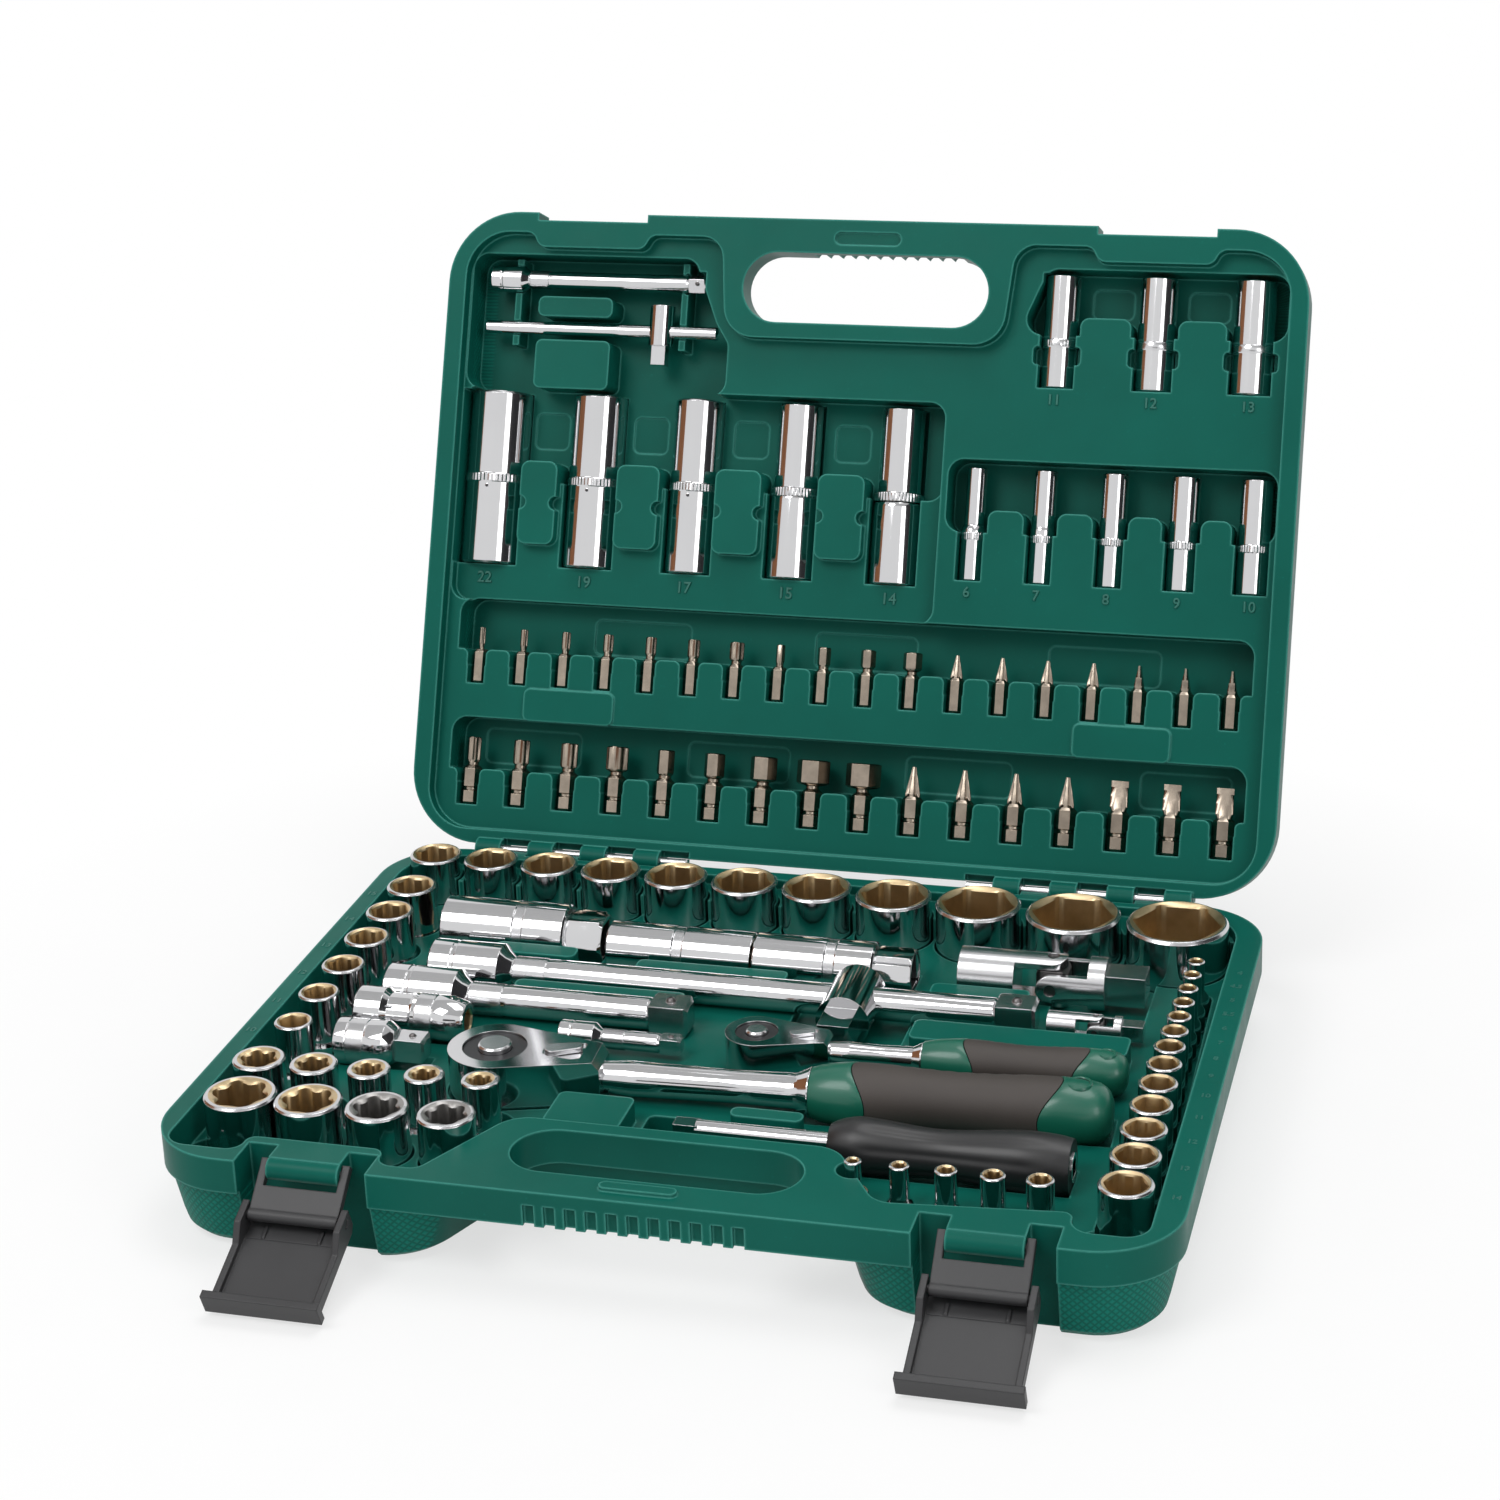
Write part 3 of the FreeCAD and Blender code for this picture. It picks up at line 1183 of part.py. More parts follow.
def post_row(spans, v0, v1, radius, gap=POST_GAP):
    """Round-cornered posts between neighbours of a row, from (x, half width) spans."""
    posts = []
    for (x, half), (next_x, next_half) in zip(spans, spans[1:]):
        low, high = x + half + gap, next_x - next_half - gap
        posts.append(rounded_box(low, high, lid_y(v1), lid_y(v0), radius, lid_z(LID_DECK),
                                 lid_z(BAY_DEPTH + 1)))
    return posts


def deep_posts():
    """Posts that grip the large deep sockets, each waisted by a finger notch on both sides."""
    spans = [(x, deep_slot_radius(size)) for size, x, v in deep_places()]
    posts = post_row(spans, DEEP_V + 0.12 * DEEP_LENGTH, DEEP_V + 0.6 * DEEP_LENGTH, POST_ROUND)
    waist_y = lid_y(DEEP_V + 0.36 * DEEP_LENGTH)
    waisted = []
    for post in posts:
        notches = []
        for x in (post.BoundBox.XMin, post.BoundBox.XMax):
            face = Vec(x, waist_y, lid_z(0))
            notches.append(cylinder(POST_WAIST, face, Vec(x, waist_y, lid_z(BAY_DEPTH + 2))))
        waisted.append(post.cut(notches))
    return waisted


def lid_posts():
    """Posts of every row; the rows of bits end in half posts at the sides of their bays."""
    posts = deep_posts()
    places = small_deep_places()
    for row, v in ((places[:len(TOP_SIZES)], TOP_V), (places[len(TOP_SIZES):], MIDDLE_V)):
        spans = [(x, small_slot_radius(size)) for size, x, row_v in row]
        posts += post_row(spans, v + 0.3 * SMALL_DEEP_LENGTH, v + 0.62 * SMALL_DEEP_LENGTH, POST_ROUND)
    end = bit_bay_half() + 6
    rows = ((SMALL_BITS, SMALL_BIT_V, SMALL_BIT_HEX, SMALL_BIT_LENGTH, 0.6),
            (LARGE_BITS, LARGE_BIT_V, LARGE_BIT_HEX, LARGE_BIT_LENGTH, 0.53))
    for kinds, v, shank_hex, length, share in rows:
        half = shank_hex / math.sqrt(3)
        spans = [(-end, 0)] + [(x, half) for kind, x in bit_places(kinds)] + [(end, 0)]
        posts += post_row(spans, v + 0.1 * length, v + share * length, 0.7 * POST_ROUND, 2 * SEAT)
    return posts


def deep_slot_radius(size):
    return max(deep_outside(size), HALF_DRIVE_END) / 2 + SEAT


def small_slot_radius(size):
    return max(small_deep_outside(size), QUARTER_DRIVE_END) / 2 + SEAT


def lid_round_slot(radius, x, v0, v1, w):
    """Slot with a half-round floor for a socket that lies up the lid."""
    floor = cylinder(radius, Vec(x, lid_y(v0), lid_z(w)), Vec(x, lid_y(v1), lid_z(w)))
    mouth = box(x - radius, x + radius, lid_y(v1), lid_y(v0), lid_z(0), lid_z(w))
    return floor.fuse(mouth)


def lid_slots():
    slots = []
    for size, x, v in deep_places():
        slots.append(lid_round_slot(deep_slot_radius(size), x, v - SEAT, v + DEEP_LENGTH + SEAT, DEEP_W))
    for size, x, v in small_deep_places():
        radius = small_slot_radius(size)
        slots.append(lid_round_slot(radius, x, v - SEAT, v + SMALL_DEEP_LENGTH + SEAT, SMALL_DEEP_W))
    for size, x, v in small_deep_places()[:len(TOP_SIZES)]:
        reach = small_slot_radius(size) + 0.8 * POST_WAIST
        y0, y1 = lid_y(v + 0.36 * SMALL_DEEP_LENGTH), lid_y(v + 0.2 * SMALL_DEEP_LENGTH)
        slots.append(rounded_box(x - reach, x + reach, y0, y1, 0.6 * POST_WAIST, lid_z(0),
                                 lid_z(SMALL_DEEP_W)))
    rows = ((SMALL_BITS, SMALL_BIT_V, SMALL_BIT_HEX, SMALL_SHANK),
            (LARGE_BITS, LARGE_BIT_V, LARGE_BIT_HEX, LARGE_SHANK))
    for kinds, v, shank_hex, shank in rows:
        half = shank_hex / math.sqrt(3) + SEAT
        for kind, x in bit_places(kinds):
            slots.append(box(x - half, x + half, lid_y(v + shank + 1), lid_y(v - SEAT), lid_z(0),
                             lid_z(BIT_W + shank_hex / 2)))
    return slots + bar_slots()


def bar_slots():
    """Slots beside the upper left bay that the ends of the extension and the T-bar lie in."""
    start = -NOTCH_FRONT / 2 - NOTCH_WALL - 1
    slots = []
    for (x, v, w), length, radius in ((LID_BAR_PLACE, LID_BAR, QUARTER_DRIVE / math.sqrt(2)),
                                      (T_BAR_PLACE, T_BAR_LENGTH, T_BAR_RADIUS)):
        reach = radius + SEAT
        end = x + length + SEAT
        floor = cylinder(reach, Vec(start, lid_y(v), lid_z(w)), Vec(end, lid_y(v), lid_z(w)))
        slots.append(floor.fuse(box(start, end, lid_y(v) - reach, lid_y(v) + reach, lid_z(0), lid_z(w))))
    return slots


RIB_WIDTH = 3.0
RIB_PLACES = (0.12, 0.895)


def lid_ribs():
    """Ribs across the upper left bay that cradle the extension and the T-bar."""
    x, v, w = LID_BAR_PLACE
    bar_x, bar_v, bar_w = T_BAR_PLACE
    ribs = []
    for share in RIB_PLACES:
        middle = x + share * LID_BAR
        rib = box(middle - RIB_WIDTH / 2, middle + RIB_WIDTH / 2, lid_y(v + 9), lid_y(bar_v - 8), lid_z(w),
                  lid_z(BAY_DEPTH + 1))
        end = QUARTER_END_RADIUS if share * LID_BAR < QUARTER_END_LENGTH + 3 else QUARTER_SHANK_RADIUS
        groove = cylinder(end + SEAT, Vec(x - 9, lid_y(v), lid_z(w)),
                          Vec(x + LID_BAR + 9, lid_y(v), lid_z(w)))
        t_groove = cylinder(T_BAR_RADIUS + SEAT, Vec(bar_x - 9, lid_y(bar_v), lid_z(bar_w)),
                            Vec(bar_x + T_BAR_LENGTH + 9, lid_y(bar_v), lid_z(bar_w)))
        ribs.append(rib.cut([groove, t_groove]))
    return ribs


ISLANDS = ((-152.0, -117.0, 238.5, 247.5), (-152.0, -117.0, 206.0, 228.0))


def lid_catch(x):
    """Shallow recess for the lever and, behind it, the groove its lip hooks in."""
    half = LATCH_RECESS_WIDTH / 2
    lip_low = PIVOT.z - LINK_LENGTH + LEVER_REACH - LIP_THICK
    ledge = lip_low - CATCH_GAP
    recess = box(x - half, x + half, FRONT - 1, FRONT + CATCH_RECESS, LID_RIM - 1, ledge + 1)
    groove = box(x - half, x + half, FRONT - 1, FRONT + CATCH_GROOVE, ledge, lip_low + 2 * LIP_THICK)
    return recess.fuse(groove)


def case_lid():
    """Lid, modelled shut over the base."""
    upright = shell_blank(LID_HEIGHT)
    shell = moved(upright.mirror(ORIGIN, Z_AXIS), 0, 0, LID_RIM + LID_HEIGHT)
    deck = rounded_prism(lid_deck_outline(), LID_RIM - 1, lid_z(LID_DECK))
    groove_end = LID_RIM + LID_HEIGHT + 1
    key = key_bar(LID_RIM - 1, LID_RIM + KEY_HEIGHT, SEAT)
    shell = shell.cut([deck, handle_slot(LID_RIM - 1, groove_end), key])
    shell = shell.cut(grip_grooves(LID_RIM + 0.4 * BAND_HEIGHT, groove_end))
    shell = shell.cut(scallops(LID_RIM + 0.35 * BAND_HEIGHT, groove_end))
    shell = shell.cut([lid_catch(x) for x in latch_places()])
    shell = shell.cut(lid_bays()).cut(floor_panels())
    islands = [rounded_box(x0, x1, lid_y(v1), lid_y(v0), PAD_ROUND, lid_z(LID_DECK + 1), lid_z(BAY_DEPTH + 1))
               for x0, x1, v0, v1 in ISLANDS]
    pad_face = LID_DECK - LID_PAD_RISE
    pads = [rounded_box(x0, x1, lid_y(v1), lid_y(v0), PAD_ROUND, lid_z(pad_face), lid_z(LID_DECK + 1))
            for x0, x1, v0, v1 in LID_PADS]
    shell = shell.fuse(islands + lid_ribs() + lid_posts() + pads).cut(lid_slots())
    shell = shell.cut(hinge_cuts(0)).fuse(lid_knuckles()).cut(hinge_cuts(KNUCKLE_COUNT))
    return swung_open(shell.removeSplitter())


def hinge_pin(side):
    length = KNUCKLE_COUNT * KNUCKLE_PITCH
    low, high = sorted((side * (HINGE_INNER + 0.5), side * (HINGE_INNER + length - 0.5)))
    return hinge_cylinder(PIN_RADIUS, low, high)


# Latches, drawn shut about their own pivot and then opened

def latch_link():
    """Link hanging from the tongue: two arms, a plate and the rod that the lever turns on."""
    inner = TONGUE_WIDTH / 2 + SEAT
    outer = inner + LINK_ARM
    pieces = []
    for side in (-1, 1):
        low, high = sorted((side * inner, side * outer))
        pieces.append(box(low, high, -LINK_THICK / 2, LINK_THICK / 2, -LINK_LENGTH, LINK_EYE))
        pieces.append(cylinder(TRUNNION_RADIUS, Vec(side * (inner - 4), 0, 0), Vec(side * (inner + 1), 0, 0)))
        pieces.append(cylinder(TRUNNION_RADIUS, Vec(side * (outer - 1), 0, -LINK_LENGTH),
                               Vec(side * (outer + LEVER_CLEAR + LEVER_WALL - SEAT), 0, -LINK_LENGTH)))
    plate_top = -TONGUE_RADIUS - LINK_THICK
    pieces.append(box(-outer, outer, -LINK_THICK / 2, LINK_THICK / 2, -LINK_LENGTH, plate_top))
    pieces.append(cylinder(LINK_ROD, Vec(-outer, 0, -LINK_LENGTH), Vec(outer, 0, -LINK_LENGTH)))
    return pieces[0].fuse(pieces[1:]).removeSplitter()


def latch_lever():
    """Lever about the rod: side walls, outer plate and the hooked lip at its end."""
    inner = TONGUE_WIDTH / 2 + SEAT + LINK_ARM + LEVER_CLEAR
    outer = inner + LEVER_WALL
    face = -LEVER_OFFSET - LEVER_WALL
    top = LEVER_REACH - LIP_THICK
    wall = [(-4, 3), (6, 3), (12, -2.6), (top + 0.5, -2.6), (top + 0.5, face), (-1.5, face), (-4, -5)]
    sides = []
    for side in (-1, 1):
        low, high = sorted((side * inner, side * outer))
        sides.append(turned(turned(prism([(y, z) for z, y in wall], low, high), 90), 90, Y_AXIS))
    plate = box(-outer, outer, face, -LEVER_OFFSET, 7, top + 0.5)
    wide = outer + LIP_OVERHANG
    lip = box(-wide, wide, face, LIP_HOOK, top, LEVER_REACH)
    bore = cylinder(TRUNNION_RADIUS + TRUNNION_FIT, Vec(-outer - 1, 0, 0), Vec(outer + 1, 0, 0))
    return plate.fuse(sides + [lip]).cut(bore).removeSplitter()


def opened_link(x):
    return moved(turned(latch_link(), -LINK_OPEN, X_AXIS), x, PIVOT.y, PIVOT.z)


def opened_lever(x):
    swing = math.radians(LINK_OPEN)
    y = PIVOT.y - LINK_LENGTH * math.sin(swing)
    z = PIVOT.z - LINK_LENGTH * math.cos(swing)
    return moved(turned(latch_lever(), LEVER_OPEN, X_AXIS), x, y, z)


# Assembly

def case_nodes():
    nodes = {"case_base": case_base(), "case_lid": case_lid()}
    for name, side in (("left", -1), ("right", 1)):
        nodes["hinge_pin_" + name] = hinge_pin(side)
        nodes["latch_link_" + name] = opened_link(side * LATCH_CENTRE)
        nodes["latch_lever_" + name] = opened_lever(side * LATCH_CENTRE)
    return nodes


def ratchet_nodes(prefix, r, place, turn):
    nodes = {}
    for name, maker in RATCHET_MAKERS.items():
        shape = maker(r)
        if name == "selector":
            shape = turned(shape, LEVER_TURN, Z_AXIS, Vec(r["lever_x"], 0, 0))
        nodes[prefix + "_ratchet_" + name] = moved(turned(shape, turn), *place)
    return nodes


def joint_nodes(prefix, scale, drive, drive_length, place):
    pieces = joint_pieces(joint_sizes(scale), drive, drive_length)
    names = ("socket_fork", "cross", "drive_fork")
    return {prefix + "_joint_" + name: moved(piece, *place) for name, piece in zip(names, pieces)}


def tool_nodes():
    half = (HALF_END_RADIUS, HALF_END_LENGTH, HALF_SHANK_RADIUS, HALF_DRIVE, HALF_SQUARE)
    quarter = (QUARTER_END_RADIUS, QUARTER_END_LENGTH, QUARTER_SHANK_RADIUS, QUARTER_DRIVE, QUARTER_SQUARE)
    nodes = {"half_extension_long": moved(extension(LONG_BAR, *half), *LONG_BAR_PLACE),
             "half_extension_short": moved(extension(SHORT_BAR, *half), *SHORT_BAR_PLACE),
             "quarter_extension_short": moved(extension(STUB_BAR, *quarter), *STUB_BAR_PLACE)}
    bore = HALF_SHANK_RADIUS + SLIDER_FIT
    head = slider(SLIDER_RADIUS, SLIDER_BACK, SLIDER_FRONT, bore, HALF_DRIVE, HALF_SQUARE)
    nodes["half_sliding_head"] = moved(head, SLIDER_X, LONG_BAR_PLACE[1], LONG_BAR_PLACE[2])
    for name, sizes, place in zip(("large", "small", "medium"), PLUG_SIZES, PLUG_PLACES):
        nodes["plug_socket_" + name] = moved(plug_socket(*sizes), *place)
    nodes["bit_holder"] = moved(bit_holder(), *BIT_HOLDER_PLACE)
    nodes["drive_adapter"] = moved(drive_adapter(), *ADAPTER_PLACE)
    nodes["spinner_grip"] = moved(spinner_grip(), *SPINNER_PLACE)
    nodes["spinner_shaft"] = moved(spinner_shaft(), *SPINNER_PLACE)
    nodes["spinner_insert"] = moved(spinner_insert(), *SPINNER_PLACE)
    nodes.update(ratchet_nodes("half", HALF_RATCHET, HALF_RATCHET_PLACE, HALF_RATCHET_TURN))
    nodes.update(ratchet_nodes("quarter", QUARTER_RATCHET, QUARTER_RATCHET_PLACE, QUARTER_RATCHET_TURN))
    nodes.update(joint_nodes("half", 1.0, HALF_DRIVE, HALF_SQUARE, HALF_JOINT_PLACE))
    nodes.update(joint_nodes("quarter", QUARTER_JOINT_SCALE, QUARTER_DRIVE, QUARTER_SQUARE,
                             QUARTER_JOINT_PLACE))
    x, v, w = LID_BAR_PLACE
    nodes["quarter_extension_long"] = swung_open(moved(extension(LID_BAR, *quarter), x, lid_y(v), lid_z(w)))
    x, v, w = T_BAR_PLACE
    bar = cylinder(T_BAR_RADIUS, ORIGIN, Vec(T_BAR_LENGTH, 0, 0))
    nodes["quarter_t_bar"] = swung_open(moved(bar, x, lid_y(v), lid_z(w)))
    bore = T_BAR_RADIUS + SLIDER_FIT
    head = turned(slider(T_HEAD_RADIUS, T_HEAD_FRONT, T_HEAD_BACK, bore, QUARTER_DRIVE, QUARTER_SQUARE), 180)
    nodes["quarter_t_head"] = swung_open(moved(head, x + T_HEAD_PLACE * T_BAR_LENGTH, lid_y(v), lid_z(w)))
    return nodes


def socket_nodes():
    tall = lambda size: HALF_HEIGHT
    low = lambda size: QUARTER_HEIGHT
    deep = [laid_in_lid(half_deep_socket(size), x, v, DEEP_W) for size, x, v in deep_places()]
    small_deep = [laid_in_lid(quarter_deep_socket(size), x, v, SMALL_DEEP_W)
                  for size, x, v in small_deep_places()]
    half_places = back_row_places() + left_column_places()
    groups = {"half_sockets": standing(half_socket, half_places, HALF_TOP, half_height),
              "star_sockets": standing(half_star_socket, star_places(), HALF_TOP, tall)
              + standing(quarter_star_socket, small_star_places(), QUARTER_TOP, low),
              "quarter_sockets": standing(quarter_socket, quarter_places(), QUARTER_TOP, low),
              "deep_sockets": deep + small_deep}
    for kind in ("star", "hex", "cross", "slot"):
        groups["small_bits_" + kind] = bit_group(SMALL_BITS, kind, SMALL_TIPS, SMALL_BIT_V, SMALL_BIT_HEX,
                                                 SMALL_SHANK, SMALL_BIT_LENGTH)
        groups["large_bits_" + kind] = bit_group(LARGE_BITS, kind, LARGE_TIPS, LARGE_BIT_V, LARGE_BIT_HEX,
                                                 LARGE_SHANK, LARGE_BIT_LENGTH)
    return {name: Part.makeCompound(solids) for name, solids in groups.items()}


def main():
    os.makedirs("parts", exist_ok=True)
    nodes = case_nodes()
    nodes.update(tool_nodes())
    nodes.update(socket_nodes())
    for name, shape in nodes.items():
        shape.exportStep(os.path.join("parts", name + ".step"))
        print(name, len(shape.Solids), "valid" if shape.isValid() else "NOT VALID", round(shape.Volume))


main()
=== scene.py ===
"""Looks of the socket wrench set: finely turned tools, moulded plastics, size numbers, light and camera."""
import json
import math

import bpy
import numpy as np
from mathutils import Matrix, Vector


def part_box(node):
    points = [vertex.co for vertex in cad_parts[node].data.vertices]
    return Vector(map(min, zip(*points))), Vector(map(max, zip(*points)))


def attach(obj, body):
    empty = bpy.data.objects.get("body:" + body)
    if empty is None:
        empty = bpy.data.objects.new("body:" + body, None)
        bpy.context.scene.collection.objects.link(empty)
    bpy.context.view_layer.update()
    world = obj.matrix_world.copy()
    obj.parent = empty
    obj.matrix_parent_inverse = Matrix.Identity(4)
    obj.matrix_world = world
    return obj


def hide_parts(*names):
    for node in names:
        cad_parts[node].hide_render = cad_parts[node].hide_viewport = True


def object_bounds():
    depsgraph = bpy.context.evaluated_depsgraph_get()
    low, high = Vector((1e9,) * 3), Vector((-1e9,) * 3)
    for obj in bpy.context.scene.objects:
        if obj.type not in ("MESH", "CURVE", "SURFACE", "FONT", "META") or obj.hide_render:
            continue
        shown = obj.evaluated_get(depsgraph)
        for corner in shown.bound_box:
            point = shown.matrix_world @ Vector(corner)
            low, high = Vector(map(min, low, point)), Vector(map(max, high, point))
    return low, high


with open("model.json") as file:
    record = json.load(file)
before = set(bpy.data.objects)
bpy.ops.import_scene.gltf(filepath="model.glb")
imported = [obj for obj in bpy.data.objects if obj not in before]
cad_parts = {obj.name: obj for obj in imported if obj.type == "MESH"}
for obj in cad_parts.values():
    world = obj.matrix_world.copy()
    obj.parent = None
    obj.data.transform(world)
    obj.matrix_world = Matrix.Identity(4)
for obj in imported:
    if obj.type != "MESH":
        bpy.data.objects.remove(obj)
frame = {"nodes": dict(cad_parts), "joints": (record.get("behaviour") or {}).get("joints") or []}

CAD_LOW, CAD_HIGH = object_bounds()
NODES = frame["nodes"]
JOINTS = {joint["name"]: joint for joint in frame["joints"]}
MM = 0.001
WHITE = (1.0, 1.0, 1.0, 1.0)

# A place in the shut lid turns about the hinge, by the joint's own range, to where it lies open
HINGE = Vector(JOINTS["lid_hinge"]["pos_m"])
LID_ANGLE = math.radians(JOINTS["lid_hinge"]["range_deg"][0])
LID_OPEN = Matrix.Translation(HINGE) @ Matrix.Rotation(LID_ANGLE, 4, "X") @ Matrix.Translation(-HINGE)

# Turns that lay a tool's own Z axis upright, up the lid or along X
UPRIGHT = Matrix.Identity(3)
LID_UP = LID_OPEN.to_3x3() @ Matrix.Rotation(math.radians(90), 3, "X")
ALONG_X = Matrix(((0, 0, 1), (1, 0, 0), (0, 1, 0)))


def placed(name, data):
    """New object, linked to the scene."""
    made = bpy.data.objects.new(name, data)
    bpy.context.scene.collection.objects.link(made)
    return made


# Shader nodes

NOISE_ROUGHNESS = 0.55
BEVEL_SAMPLES = 6
# Sockets of a colour mix, by number because their names repeat
MIX_SHARE, MIX_FIRST, MIX_SECOND, MIX_RESULT = 0, 6, 7, 2


def new_tree(name):
    made = bpy.data.materials.new(name)
    made.use_nodes = True
    tree = made.node_tree
    return made, tree, tree.nodes["Principled BSDF"]


def fill(tree, node, inputs):
    """Links each input to another node's output, or sets it to a plain value."""
    for key, value in inputs.items():
        if isinstance(value, bpy.types.NodeSocket):
            tree.links.new(value, node.inputs[key])
        else:
            node.inputs[key].default_value = value


def add_node(tree, kind, inputs):
    node = tree.nodes.new("ShaderNode" + kind)
    fill(tree, node, inputs)
    return node


def noise_node(tree, vector, scale, detail):
    inputs = {"Vector": vector, "Scale": scale, "Detail": detail, "Roughness": NOISE_ROUGHNESS}
    return add_node(tree, "TexNoise", inputs).outputs["Fac"]


def ranged(tree, value, low, high, from_low=0.3, from_high=0.7):
    """Value spread from one range to another; a noise mostly lies in the range given here."""
    inputs = {"Value": value, "From Min": from_low, "From Max": from_high, "To Min": low, "To Max": high}
    return add_node(tree, "MapRange", inputs).outputs["Result"]


def math_node(tree, operation, *values, kind="Math"):
    node = tree.nodes.new("ShaderNode" + kind)
    node.operation = operation
    fill(tree, node, dict(enumerate(values)))
    return node.outputs["Value"]


def mixed_colour(tree, share, *colours):
    node = tree.nodes.new("ShaderNodeMix")
    node.data_type = "RGBA"
    first, second = ((*colour, 1.0) if isinstance(colour, tuple) else colour for colour in colours)
    fill(tree, node, {MIX_SHARE: share, MIX_FIRST: first, MIX_SECOND: second})
    return node.outputs[MIX_RESULT]


def scaled(colour, factor):
    return tuple(min(1.0, part * factor) for part in colour)


def uneven(tree, noise, colour, spread):
    """Colour that varies with a noise by a share of itself, up and down."""
    share = ranged(tree, noise, 0.0, 1.0)
    return mixed_colour(tree, share, scaled(colour, 1 - spread), scaled(colour, 1 + spread))


def object_coordinates(tree):
    return tree.nodes.new("ShaderNodeTexCoord").outputs["Object"]


def bevel_normal(tree, radius):
    node = add_node(tree, "Bevel", {"Radius": radius})
    node.samples = BEVEL_SAMPLES
    return node.outputs["Normal"]


def bumped(tree, height, strength, distance, bevel):
    """Normal of a bump over edges rounded by bevel."""
    inputs = {"Height": height, "Strength": strength, "Distance": distance,
              "Normal": bevel_normal(tree, bevel)}
    return add_node(tree, "Bump", inputs).outputs["Normal"]


def seen_rays(tree):
    """1 for rays from the camera, a gloss or a clear surface, 0 for scattered light."""
    rays = tree.nodes.new("ShaderNodeLightPath").outputs
    seen = math_node(tree, "MAXIMUM", rays["Is Camera Ray"], rays["Is Glossy Ray"])
    return math_node(tree, "MAXIMUM", seen, rays["Is Transmission Ray"])


def blend_into(tree, output, share, first, second):
    """Sends a mix of two shaders to an output node."""
    blend = add_node(tree, "MixShader", {0: share, 1: first.outputs[0], 2: second.outputs[0]})
    fill(tree, tree.nodes[output], {"Surface": blend.outputs[0]})


# Materials

GRAIN_DEPTH = 0.2 * MM


def surface(name, colour, spread, glossy, dull, metallic, grain, bump, bevel, patch=25.0, coat=0.0):
    """Plain material with uneven colour, uneven gloss and a fine grain."""
    made, tree, shader = new_tree(name)
    vector = object_coordinates(tree)
    fine = noise_node(tree, vector, grain, 5.0)
    broad = noise_node(tree, vector, patch, 3.0)
    fill(tree, shader, {"Base Color": uneven(tree, broad, colour, spread), "Metallic": metallic,
                        "Roughness": ranged(tree, broad, glossy, dull), "Coat Weight": coat,
                        "Normal": bumped(tree, fine, bump, GRAIN_DEPTH, bevel * MM)})
    return made


CASE_GREEN = (0.003, 0.104, 0.078)
# Painted highlight on rounded edges: its paler colour, share, radius, cosines of the turn between which it
# fades; then the bevel in the shading
EDGE_HIGHLIGHT_GREEN = (0.1, 0.44, 0.37)
EDGE_SHARE = 0.65
EDGE_RADIUS = 1.6 * MM
EDGE_TURN = (0.82, 0.995)
EDGE_BEVEL = 1.1 * MM
# Foot: top of its texture, the height of its fade, and where the outer wall begins
SHOULDER = 26.0 * MM
SHOULDER_FADE = 1.5 * MM
WALL_X = (176.0 * MM, 178.0 * MM)
WALL_Y = (127.0 * MM, 129.0 * MM)
# Centre of the outer corners, and the radius of the diamond texture round them
CORNER_X, CORNER_Y = 160.5 * MM, 110.0 * MM
CORNER_BEND = 28.0 * MM
DIAMOND_PITCH = 3.0 * MM
# Shares of the bump: diamonds, slow swells and fine grain
DIAMOND_SHARE, FLOW_SHARE, FINE_SHARE = 1.6, 0.8, 0.16
CASE_BUMP = 0.22
CASE_BUMP_DEPTH = 0.4 * MM
CASE_GLOSS = (0.34, 0.44)
FOOT_DULLER = 0.14
CASE_SPECULAR = 0.1


def edge_mask(tree):
    """Share of the painted edge highlight: near its full share where the surface turns over a rounded edge, 0
    on the flats.
    """
    true = tree.nodes.new("ShaderNodeNewGeometry").outputs["Normal"]
    rounded = bevel_normal(tree, EDGE_RADIUS)
    along = math_node(tree, "DOT_PRODUCT", true, rounded, kind="VectorMath")
    return ranged(tree, along, EDGE_SHARE, 0.0, *EDGE_TURN)


def foot_texture(tree, vector, lid):
    """Mask of the foot's outer wall, and the height of its diamonds."""
    def calc(operation, *values):
        return math_node(tree, operation, *values)

    if lid:
        turn = add_node(tree, "VectorRotate", {"Vector": vector, "Center": HINGE, "Angle": -LID_ANGLE})
        turn.rotation_type = "X_AXIS"
        vector = turn.outputs["Vector"]
    x, y, z = add_node(tree, "SeparateXYZ", {"Vector": vector}).outputs
    drop = calc("SUBTRACT", z, 2 * HINGE.z - SHOULDER) if lid else calc("SUBTRACT", SHOULDER, z)
    below = ranged(tree, drop, 0.0, 1.0, 0.0, SHOULDER_FADE)
    far_x, far_y = calc("ABSOLUTE", x), calc("ABSOLUTE", y)
    across = ranged(tree, far_x, 0.0, 1.0, *WALL_X)
    along = ranged(tree, far_y, 0.0, 1.0, *WALL_Y)
    outside = calc("MULTIPLY", below, calc("MAXIMUM", across, along))
    near_x, near_y = calc("MINIMUM", far_x, CORNER_X), calc("MINIMUM", far_y, CORNER_Y)
    bend = calc("ARCTAN2", calc("SUBTRACT", far_y, near_y), calc("SUBTRACT", far_x, near_x))
    around = calc("MULTIPLY_ADD", bend, CORNER_BEND, calc("SUBTRACT", near_y, near_x))
    waves = []
    for sign in (-1.0, 1.0):
        phase = calc("MULTIPLY", calc("MULTIPLY_ADD", z, sign, around), math.pi / DIAMOND_PITCH)
        waves.append(calc("ABSOLUTE", calc("SINE", phase)))
    return outside, calc("MULTIPLY", calc("MINIMUM", *waves), outside)


